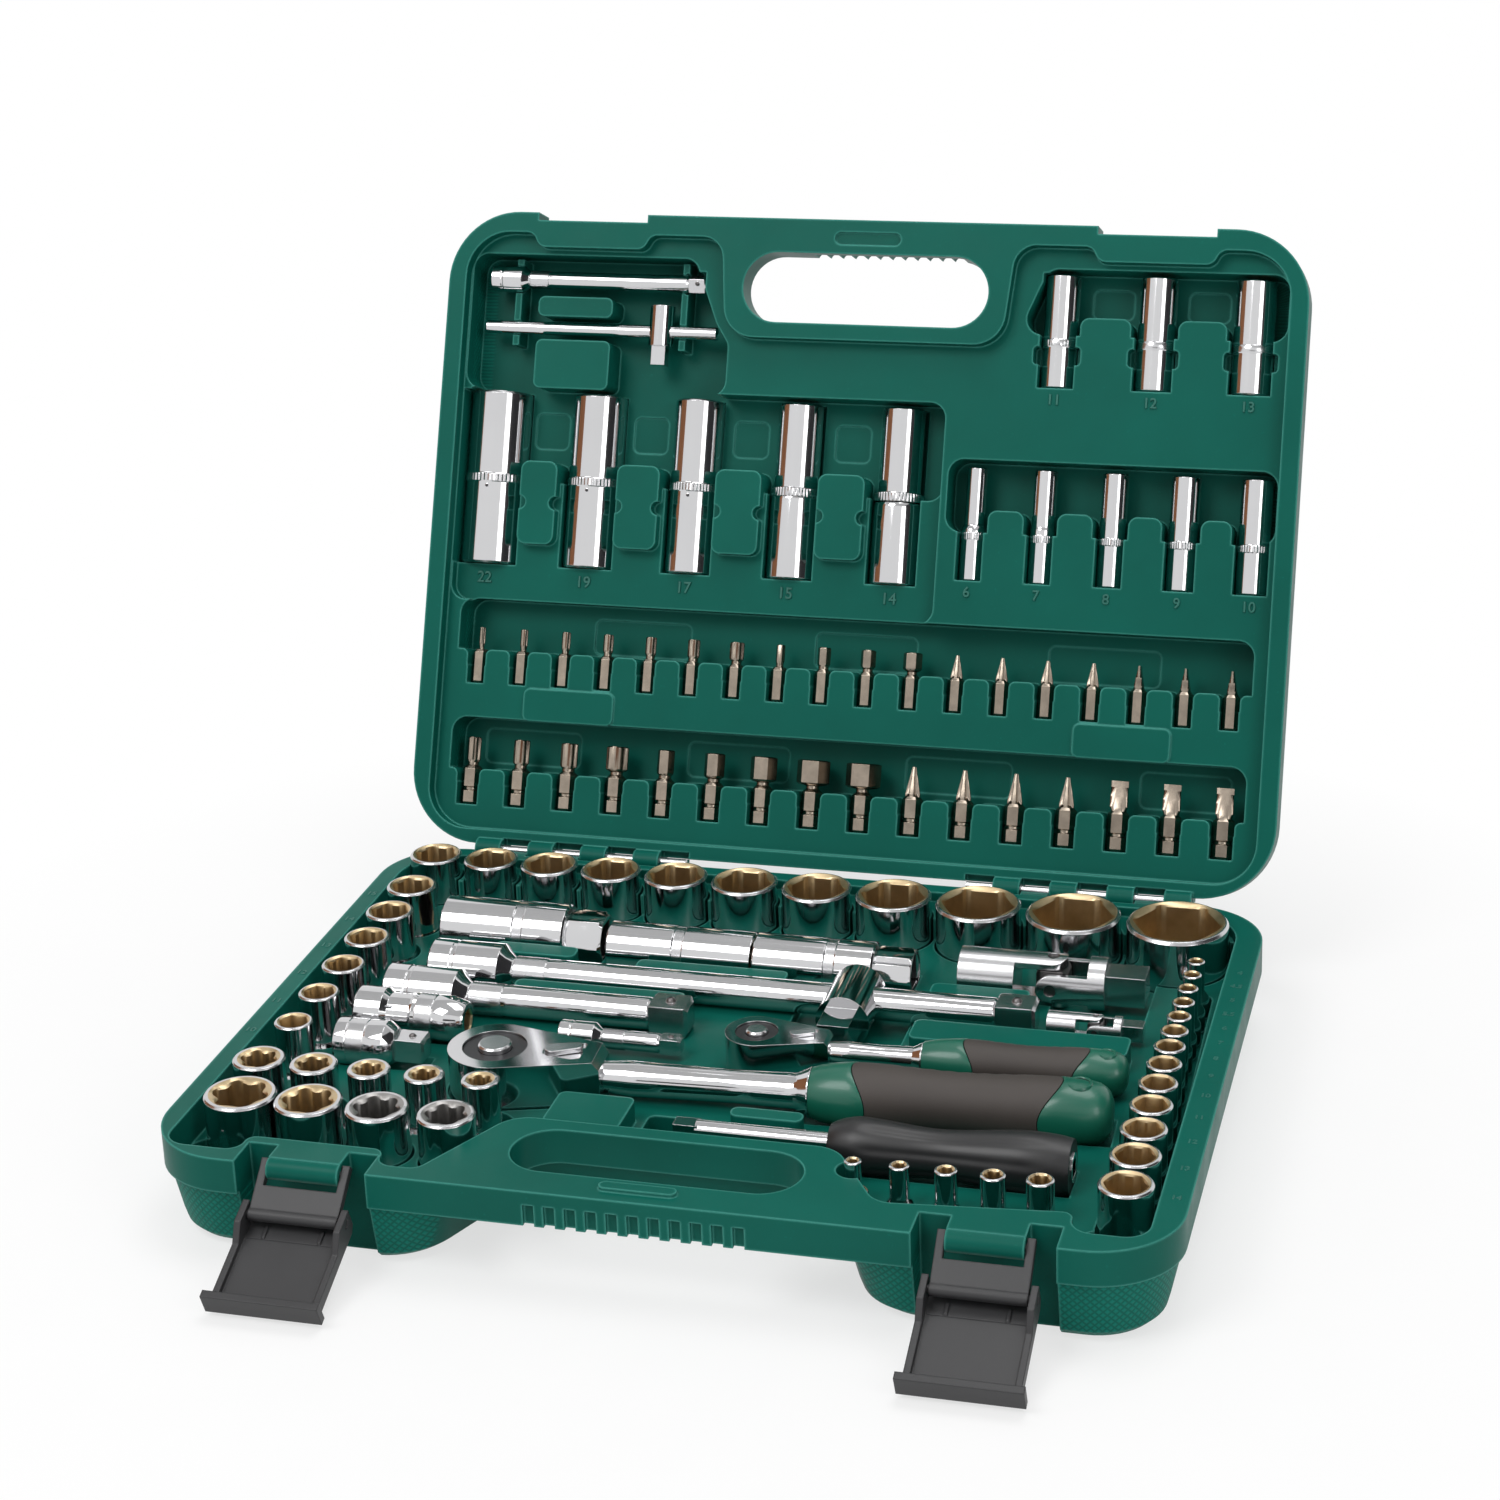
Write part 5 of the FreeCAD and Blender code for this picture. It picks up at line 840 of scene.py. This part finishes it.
def grip_sleeve(handle):
    """Dark soft sleeve whose ends wave round the handle."""
    first, last = shifted(handle.front, SLEEVE_GAP), shifted(handle.rear, -SLEEVE_GAP)
    rings = [handle.skin(handle.front, 1.4)]
    for i in range(SLEEVE_STEPS + 1):
        grooved = GROOVES[0] < i < GROOVES[1] and i % 2
        sink = SLEEVE_SINK + (GROOVE_SHARE * handle.full if grooved else 0.0)
        rings.append(handle.skin(mixture(first, last, i / SLEEVE_STEPS), sink))
    rings.append(handle.skin(handle.rear, 1.4))
    handle.draw("sleeve", "grip_soft", "grip_rubber", rings)


def hang_eye(handle):
    """Rim of the hole near the handle's end, over a dark band and floor a little way down: painted shade in
    place of the hole's depth.
    """
    bore = handle.bore
    reach = smooth_radius(handle.stations, handle.hole)
    # Dark band and floor: painted shade of the hole
    rings = band("dark_cover_and_hole_shade", (bore, reach - 1.2))
    rings += band("grip_green", (bore, reach - 0.35), (bore + 0.35, reach + 0.05), (bore + 1.0, reach - 0.05),
                  (bore + 1.4, reach - 0.9))
    piece = Piece()
    centre = handle.place + handle.axes @ Vector((0, 0, handle.hole * MM))
    piece.stack(rings, UPRIGHT, centre, EYE_COUNT, BOTTOM_ONLY)
    piece.build("hang_eye_%s" % handle.family, handle.body, "grip_plastic")


def spinner_handle():
    """Waisted black handle with shallow flutes."""
    place, length = axis_of("spinner_grip")
    stations = [(0.0, 7.6), (0.04 * length, 9.4), (0.13 * length, 11.0), (0.45 * length, 9.2),
                (0.8 * length, 11.8), (0.94 * length, 11.3), (length, 10.4)]
    shaft, insert, insert_depth = 4.1, 5.65, 14.0
    rings = [(shaft, 0.0)]
    for i in range(SPINNER_STEPS + 1):
        x = length * i / SPINNER_STEPS
        fade = min(1.0, (x - 0.12 * length) / FLUTE_FADE, (0.9 * length - x) / FLUTE_FADE)
        rings.append((fluted(smooth_radius(stations, x), FLUTE_DEPTH * max(0.0, fade), FLUTES), x))
    rings += [(insert, length), (insert, length - insert_depth)]
    piece = Piece()
    piece.stack(band("spinner_black", *rings), ALONG_X, place, SPINNER_COUNT, BOTH_ENDS)
    piece.build("moulded_spinner_grip", "spinner", "spinner_plastic", "spinner_grip", sharp=SOFT_ANGLE)


# Latch levers: the shroud between each lever's walls, behind the rod

LEVER_OPEN = math.radians(113.0)
SHROUD = ((-7.3, -1.0), (-6.9, -1.5), (-5.3, -1.5), (-4.9, -1.0), (-4.9, 7.2), (-7.3, 7.2))
SHROUD_RIB = ((-4.95, 1.0), (-4.2, 1.6), (-4.2, 6.4), (-4.95, 7.0))
SHROUD_GAP = 0.4
RIB_HALF = 0.6
RIB_SHARE = 0.55


def lever_shroud(side):
    """Plate with two ribs, each a prism of a (y, z) profile between two x planes."""
    joint = JOINTS["latch_lever_" + side]
    place = Vector(joint["pos_m"])
    low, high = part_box("latch_link_" + side)
    half = (high.x - low.x) / 2 / MM - SHROUD_GAP
    place.x = (low.x + high.x) / 2
    turn = Matrix.Rotation(LEVER_OPEN, 3, "X")
    prisms = [(SHROUD, -half, half)]
    for x in (-RIB_SHARE * half, RIB_SHARE * half):
        prisms.append((SHROUD_RIB, x - RIB_HALF, x + RIB_HALF))
    piece = Piece()
    for profile, *planes in prisms:
        loops = [[turn @ (Vector((x, y, z)) * MM) + place for y, z in profile] for x in planes]
        piece.loft(loops, ("latch_grey", "latch_grey"), BOTH_ENDS)
    piece.build("lever_shroud_" + side, joint["child"], "latch_plastic")


# Outer wall of the base where three of the CAD's pockets come through the foot

# As in the CAD, in mm: the foot's wall by height and inset, the case's plan, the bay's mouth and side
FOOT_HEIGHTS = (1.07, 4.0, 8.0, 26.0)
FOOT_INSETS = (9.5, 6.57, 5.5, 2.0)
CASE_HALF = (192.5, 142.0)
CASE_CORNER = 32.0
NOTCH_MOUTH = (78.0, -142.0)
NOTCH_RUN = Vector((-0.3782, 0.9257, 0.0))
NOTCH_OUT = Vector((-0.9257, -0.3782, 0.0))
PATCH_SKIN = 0.03
PATCH_DEPTH = 1.0
PATCH_COLUMNS = 17
# Rows of a patch: (height, share of the swell over a socket's foot)
WELL_ROWS = tuple((z, 0.0) for z in (8.6, 11.0, 14.0, 17.0, 20.0, 23.0, 25.97))
BACK_ROWS = ((5.0, 0.0), (6.5, 0.4), (8.0, 0.95), (9.5, 1.0), (11.5, 0.8), (14.0, 0.4), (17.0, 0.1),
             (19.0, 0.0))
NOTCH_ROWS = ((14.5, 0.0), (16.5, 0.5), (18.5, 1.0), (20.0, 1.0), (22.0, 0.75), (24.0, 0.45), (25.97, 0.15))
# Spans of the patches, in degrees round the corners and in mm along the bay, and their swells
WELL_SPAN, BACK_SPAN, NOTCH_SPAN = (199.0, 251.0), (155.0, 106.0), (44.2, 28.0)
BACK_SWELL, NOTCH_SWELL = 0.95, 1.5


def foot_inset(z):
    return float(np.interp(z, FOOT_HEIGHTS, FOOT_INSETS))


def corner_wall(side_x, side_y):
    """Place and outward direction on a corner of the foot, from an angle in degrees and a height."""
    def wall(angle, z):
        out = Vector((math.cos(math.radians(angle)), math.sin(math.radians(angle)), 0))
        centre = Vector((side_x * (CASE_HALF[0] - CASE_CORNER), side_y * (CASE_HALF[1] - CASE_CORNER), z))
        return centre + out * (CASE_CORNER - foot_inset(z)), out
    return wall


def notch_wall(along, z):
    """Place and outward direction on the right side of the bay under the handle."""
    inset = foot_inset(z)
    return Vector((NOTCH_MOUTH[0] + inset, NOTCH_MOUTH[1] + inset, z)) + NOTCH_RUN * along, NOTCH_OUT


def wall_patch(piece, wall, span, rows, swell):
    """Plate in the foot's outer face."""
    first = len(piece.points)
    columns = PATCH_COLUMNS
    for inner in (False, True):
        for z, share in rows:
            for j in range(columns):
                part = j / (columns - 1)
                place, out = wall(span[0] + (span[1] - span[0]) * part, z)
                proud = -PATCH_DEPTH if inner else PATCH_SKIN + swell * share * math.sin(math.pi * part)
                piece.points.append((place + out * proud) * MM)
    layer = len(rows) * columns
    grid = [[first + i * columns + j for j in range(columns)] for i in range(len(rows))]
    for low, high in zip(grid, grid[1:]):
        for j in range(columns - 1):
            quad = (low[j], low[j + 1], high[j + 1], high[j])
            piece.add(quad, "wall_green")
            piece.add((layer + k for k in reversed(quad)), "wall_green")
    edge = grid[0] + [row[-1] for row in grid[1:]] + grid[-1][-2::-1] + [row[0] for row in grid[-2:0:-1]]
    for a, b in zip(edge, edge[1:] + edge[:1]):
        piece.add((b, a, layer + a, layer + b), "wall_green")


def wall_patches():
    piece = Piece()
    wall_patch(piece, corner_wall(-1, -1), WELL_SPAN, WELL_ROWS, 0.0)
    wall_patch(piece, corner_wall(-1, 1), BACK_SPAN, BACK_ROWS, BACK_SWELL)
    wall_patch(piece, notch_wall, NOTCH_SPAN, NOTCH_ROWS, NOTCH_SWELL)
    piece.build("foot_wall_patches", "case_base", "case_plastic", sharp=SOFT_ANGLE)


# Size numbers

LID_FACE = LID_OPEN.to_3x3() @ Matrix(((1, 0, 0), (0, -1, 0), (0, 0, -1)))
RIM = 40.0 * MM
LID_RIM = 40.3 * MM
NUMBER_DEPTH = 0.55 * MM
NUMBER_BEVEL = 0.12 * MM
# Base numbers are sunk so that they clear the shut lid
NUMBER_SINK = 0.47 * MM
# Lid numbers, in mm: size, distance from the socket's foot and depth behind the rim
LARGE_NUMBER, SMALL_NUMBER = (7.0, 6.5, 13.0), (6.2, 5.5, 7.0)
# Base numbers: size in mm and place across
BASE_NUMBERS = {"half_sockets": (4.6, CAD_LOW.x + 4.2 * MM), "quarter_sockets": (4.0, CAD_HIGH.x - 5.4 * MM)}
# Sockets further back stand in the back row, which has no numbers
BACK_ROW = 100.0 * MM


def number_mesh(text, size):
    curve = bpy.data.curves.new("number", "FONT")
    curve.body = text
    curve.size = size * MM
    curve.extrude = NUMBER_DEPTH
    curve.bevel_depth = NUMBER_BEVEL
    curve.align_x = curve.align_y = "CENTER"
    holder = placed("number", curve)
    bpy.context.view_layer.update()
    mesh = bpy.data.meshes.new_from_object(holder.evaluated_get(bpy.context.evaluated_depsgraph_get()))
    bpy.data.objects.remove(holder)
    bpy.data.curves.remove(curve)
    return mesh


def plain(number):
    return str(int(round(number))) if abs(number - round(number)) < 0.2 else "%.1f" % number


def numbers(name, body, entries):
    """Raised numbers from (number, size, place, axes) joined into one piece."""
    points, faces = [], []
    for number, size, place, axes in entries:
        mesh = number_mesh(plain(number), size)
        first = len(points)
        points += [tuple(axes @ vertex.co + place) for vertex in mesh.vertices]
        faces += [tuple(first + i for i in polygon.vertices) for polygon in mesh.polygons]
        bpy.data.meshes.remove(mesh)
    mesh = bpy.data.meshes.new(name)
    mesh.from_pydata(points, [], faces)
    mesh.materials.append(MATERIALS["number_green"])
    made = placed(name, mesh)
    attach(made, body)


def size_numbers(hexes, deeps):
    shut = LID_OPEN.inverted()
    entries = []
    for number, place, large in deeps:
        size, up, depth = LARGE_NUMBER if large else SMALL_NUMBER
        foot = shut @ place
        spot = LID_OPEN @ Vector((foot.x, foot.y + up * MM, LID_RIM + depth * MM))
        entries.append((number, size, spot, LID_FACE))
    numbers("size_numbers_lid", "case_lid", entries)
    entries = []
    for node, (size, x) in BASE_NUMBERS.items():
        for number, place in hexes[node]:
            if place.y < BACK_ROW:
                entries.append((number, size, Vector((x, place.y, RIM - NUMBER_SINK)), UPRIGHT))
    numbers("size_numbers_base", "case_base", entries)


# Finish of the CAD pieces that stay

WELD = 2e-6
SHARP_EDGE = math.radians(26)
# The first of these words in a node's name gives its look; the rest are chrome
FINISHES = {"case_base": "base_green", "case_lid": "lid_green", "latch": "latch_grey",
            "hinge_pin": "hinge_steel", "joint_cross": "joint_dark", "ratchet_cover": "dark_cover_and_hole_shade",
            "_joint_": SATIN, "ratchet_button": SATIN, "ratchet_selector": SATIN, "ratchet_drive": SATIN}


def shade_group():
    """Modifier that welds the mesh and shades it smooth between sharp edges."""
    group = bpy.data.node_groups.new("smooth_by_edge", "GeometryNodeTree")
    group.interface.new_socket("Geometry", in_out="INPUT", socket_type="NodeSocketGeometry")
    group.interface.new_socket("Geometry", in_out="OUTPUT", socket_type="NodeSocketGeometry")
    start = group.nodes.new("NodeGroupInput")
    weld = group.nodes.new("GeometryNodeMergeByDistance")
    fill(group, weld, {"Geometry": start.outputs[0], "Distance": WELD})
    smooth = group.nodes.new("GeometryNodeSetShadeSmooth")
    fill(group, smooth, {"Geometry": weld.outputs["Geometry"]})
    angle = group.nodes.new("GeometryNodeInputMeshEdgeAngle")
    limit = group.nodes.new("FunctionNodeCompare")
    limit.data_type = "FLOAT"
    limit.operation = "GREATER_THAN"
    fill(group, limit, {"A": angle.outputs["Unsigned Angle"], "B": SHARP_EDGE})
    sharp = group.nodes.new("GeometryNodeSetShadeSmooth")
    sharp.domain = "EDGE"
    fill(group, sharp, {"Geometry": smooth.outputs["Geometry"], "Selection": limit.outputs["Result"],
                        "Shade Smooth": False})
    fill(group, group.nodes.new("NodeGroupOutput"), {0: sharp.outputs["Geometry"]})
    return group


def finish_nodes():
    group = shade_group()
    for name, made in NODES.items():
        look = next((look for word, look in FINISHES.items() if word in name), CHROME)
        made.data.materials.clear()
        made.data.materials.append(MATERIALS[look])
        made.modifiers.new("smooth", "NODES").node_group = group


# Set, light and camera, in metres

FLOOR_REACH = 12.0
FLOOR_GAP = 0.4 * MM
FLOOR_GREYS = ((0.86, 0.86, 0.86), (0.9, 0.9, 0.9))
# Share of plain white seen of the floor, near the case and far off, and where it grows
FLOOR_WHITE = (0.68, 1.0)
FLOOR_FADE = (0.24, 0.44)
AMBIENT = 0.42
# Place, target, size and power
LAMPS = {"key": ((-0.7, -1.0, 1.7), (0.0, 0.05, 0.05), (0.9, 0.9), 17.0),
         "top": ((0.25, 0.3, 1.9), (0.0, 0.05, 0.05), (1.2, 0.8), 12.0),
         "fill": ((1.4, -1.1, 1.0), (0.0, 0.05, 0.1), (0.8, 0.8), 6.0)}
# Corner, first side, second side, colour and glow
CARDS = {"ceiling": ((-2.5, -2.5, 2.6), (5.0, 0.0, 0.0), (0.0, 4.5, 0.0), (0.5, 0.5, 0.5), 0.34),
         "flag_right": ((1.3, -0.75, 0.0), (0.0, 1.5, 0.0), (0.0, 0.0, 1.5), (0.02, 0.02, 0.022)),
         "flag_left": ((-1.4, 0.5, 0.0), (0.0, -1.1, 0.0), (0.0, 0.0, 1.3), (0.3, 0.12, 0.05)),
         "flag_back": ((0.9, -2.4, 0.7), (-1.4, 0.0, 0.0), (0.0, 0.0, 0.4), (0.05, 0.05, 0.05))}
CAMERA_PLACE = Vector((0.32248, -1.09495, 0.61670))
# Yaw, pitch below the level and roll, in radians
CAMERA_TURNS = ((0.2755, "Z"), (math.pi / 2 - 0.3482, "X"), (-0.0377, "Z"))
CAMERA_SENSOR, CAMERA_LENS = 36.0, 77.5
CAMERA_SHIFT = (-0.0027, -0.0773)


def sheet(name, corner, first, second):
    """Mesh of one flat rectangle."""
    a, b, c = Vector(corner), Vector(first), Vector(second)
    mesh = bpy.data.meshes.new(name)
    mesh.from_pydata([a, a + b, a + b + c, a + c], [], [(0, 1, 2, 3)])
    return mesh


def studio():
    side = 2 * FLOOR_REACH
    mesh = sheet("floor", (-FLOOR_REACH, -FLOOR_REACH, 0), (side, 0, 0), (0, side, 0))
    floor = placed("floor", mesh)
    floor.location.z = -FLOOR_GAP
    made, tree, shader = new_tree("pale_floor")
    vector = object_coordinates(tree)
    grain = noise_node(tree, vector, 30.0, 4.0)
    fill(tree, shader, {"Base Color": mixed_colour(tree, grain, *FLOOR_GREYS), "Roughness": 0.6})
    glow = add_node(tree, "Emission", {"Color": WHITE})
    far = math_node(tree, "LENGTH", vector, kind="VectorMath")
    share = math_node(tree, "MULTIPLY", seen_rays(tree), ranged(tree, far, *FLOOR_WHITE, *FLOOR_FADE))
    blend_into(tree, "Material Output", share, shader, glow)
    mesh.materials.append(made)


def lamp(name, place, target, size, power):
    data = bpy.data.lights.new(name, "AREA")
    data.shape = "RECTANGLE"
    data.size, data.size_y = size
    data.energy = power
    made = placed(name, data)
    made.location = place
    made.rotation_mode = "QUATERNION"
    made.rotation_quaternion = (Vector(target) - Vector(place)).to_track_quat("-Z", "Y")


def reflected_card(name, corner, first, second, colour, glow=0.0):
    """Card beside or above the set, seen only in reflections."""
    mesh = sheet(name, corner, first, second)
    made, tree, shader = new_tree(name)
    grain = noise_node(tree, object_coordinates(tree), 8.0, 3.0)
    colours = mixed_colour(tree, grain, scaled(colour, 0.7), scaled(colour, 1.3))
    fill(tree, shader, {"Base Color": colours, "Roughness": 0.9, "Emission Color": WHITE,
                        "Emission Strength": glow})
    mesh.materials.append(made)
    card = placed(name, mesh)
    card.visible_camera = card.visible_diffuse = card.visible_shadow = False


def lights():
    world = bpy.data.worlds.new("studio")
    world.use_nodes = True
    tree = world.node_tree
    ambient = tree.nodes["Background"]
    fill(tree, ambient, {"Color": WHITE, "Strength": AMBIENT})
    white = add_node(tree, "Background", {"Color": WHITE, "Strength": 1.0})
    blend_into(tree, "World Output", seen_rays(tree), ambient, white)
    bpy.context.scene.world = world
    for name, values in LAMPS.items():
        lamp(name, *values)
    for name, values in CARDS.items():
        reflected_card(name, *values)


def camera():
    scene = bpy.context.scene
    data = bpy.data.cameras.new("camera")
    data.sensor_width = CAMERA_SENSOR
    data.lens = CAMERA_LENS
    data.shift_x, data.shift_y = CAMERA_SHIFT
    made = placed("camera", data)
    pose = Matrix.Translation(CAMERA_PLACE)
    for angle, axis in CAMERA_TURNS:
        pose = pose @ Matrix.Rotation(angle, 4, axis)
    made.matrix_world = pose
    scene.camera = made
    scene.view_settings.view_transform = "Standard"


finish_nodes()
hexes = {}
for node, values in HEX_SOCKETS.items():
    hexes[node] = drawn_solids(node, "case_base", UPRIGHT, hex_socket, *values)
drawn_solids("star_sockets", "case_base", UPRIGHT, star_socket)
deeps = drawn_solids("deep_sockets", "case_lid", LID_UP, deep_socket)
for family in ("small", "large"):
    for kind in ("star", "hex", "cross", "slot"):
        node = "%s_bits_%s" % (family, kind)
        drawn_solids(node, "case_lid", LID_UP, turned_bit, kind, slot="bit_steel", sharp=BIT_ANGLE)
for node in EXTENSIONS:
    extension(node)
for node in PLUGS:
    plug_socket(node)
bit_holder()
drive_adapter()
for family in RATCHETS:
    handle = Handle(family)
    grip_core(handle)
    grip_sleeve(handle)
    hang_eye(handle)
spinner_handle()
for side in ("left", "right"):
    lever_shroud(side)
wall_patches()
size_numbers(hexes, deeps)
studio()
lights()
camera()
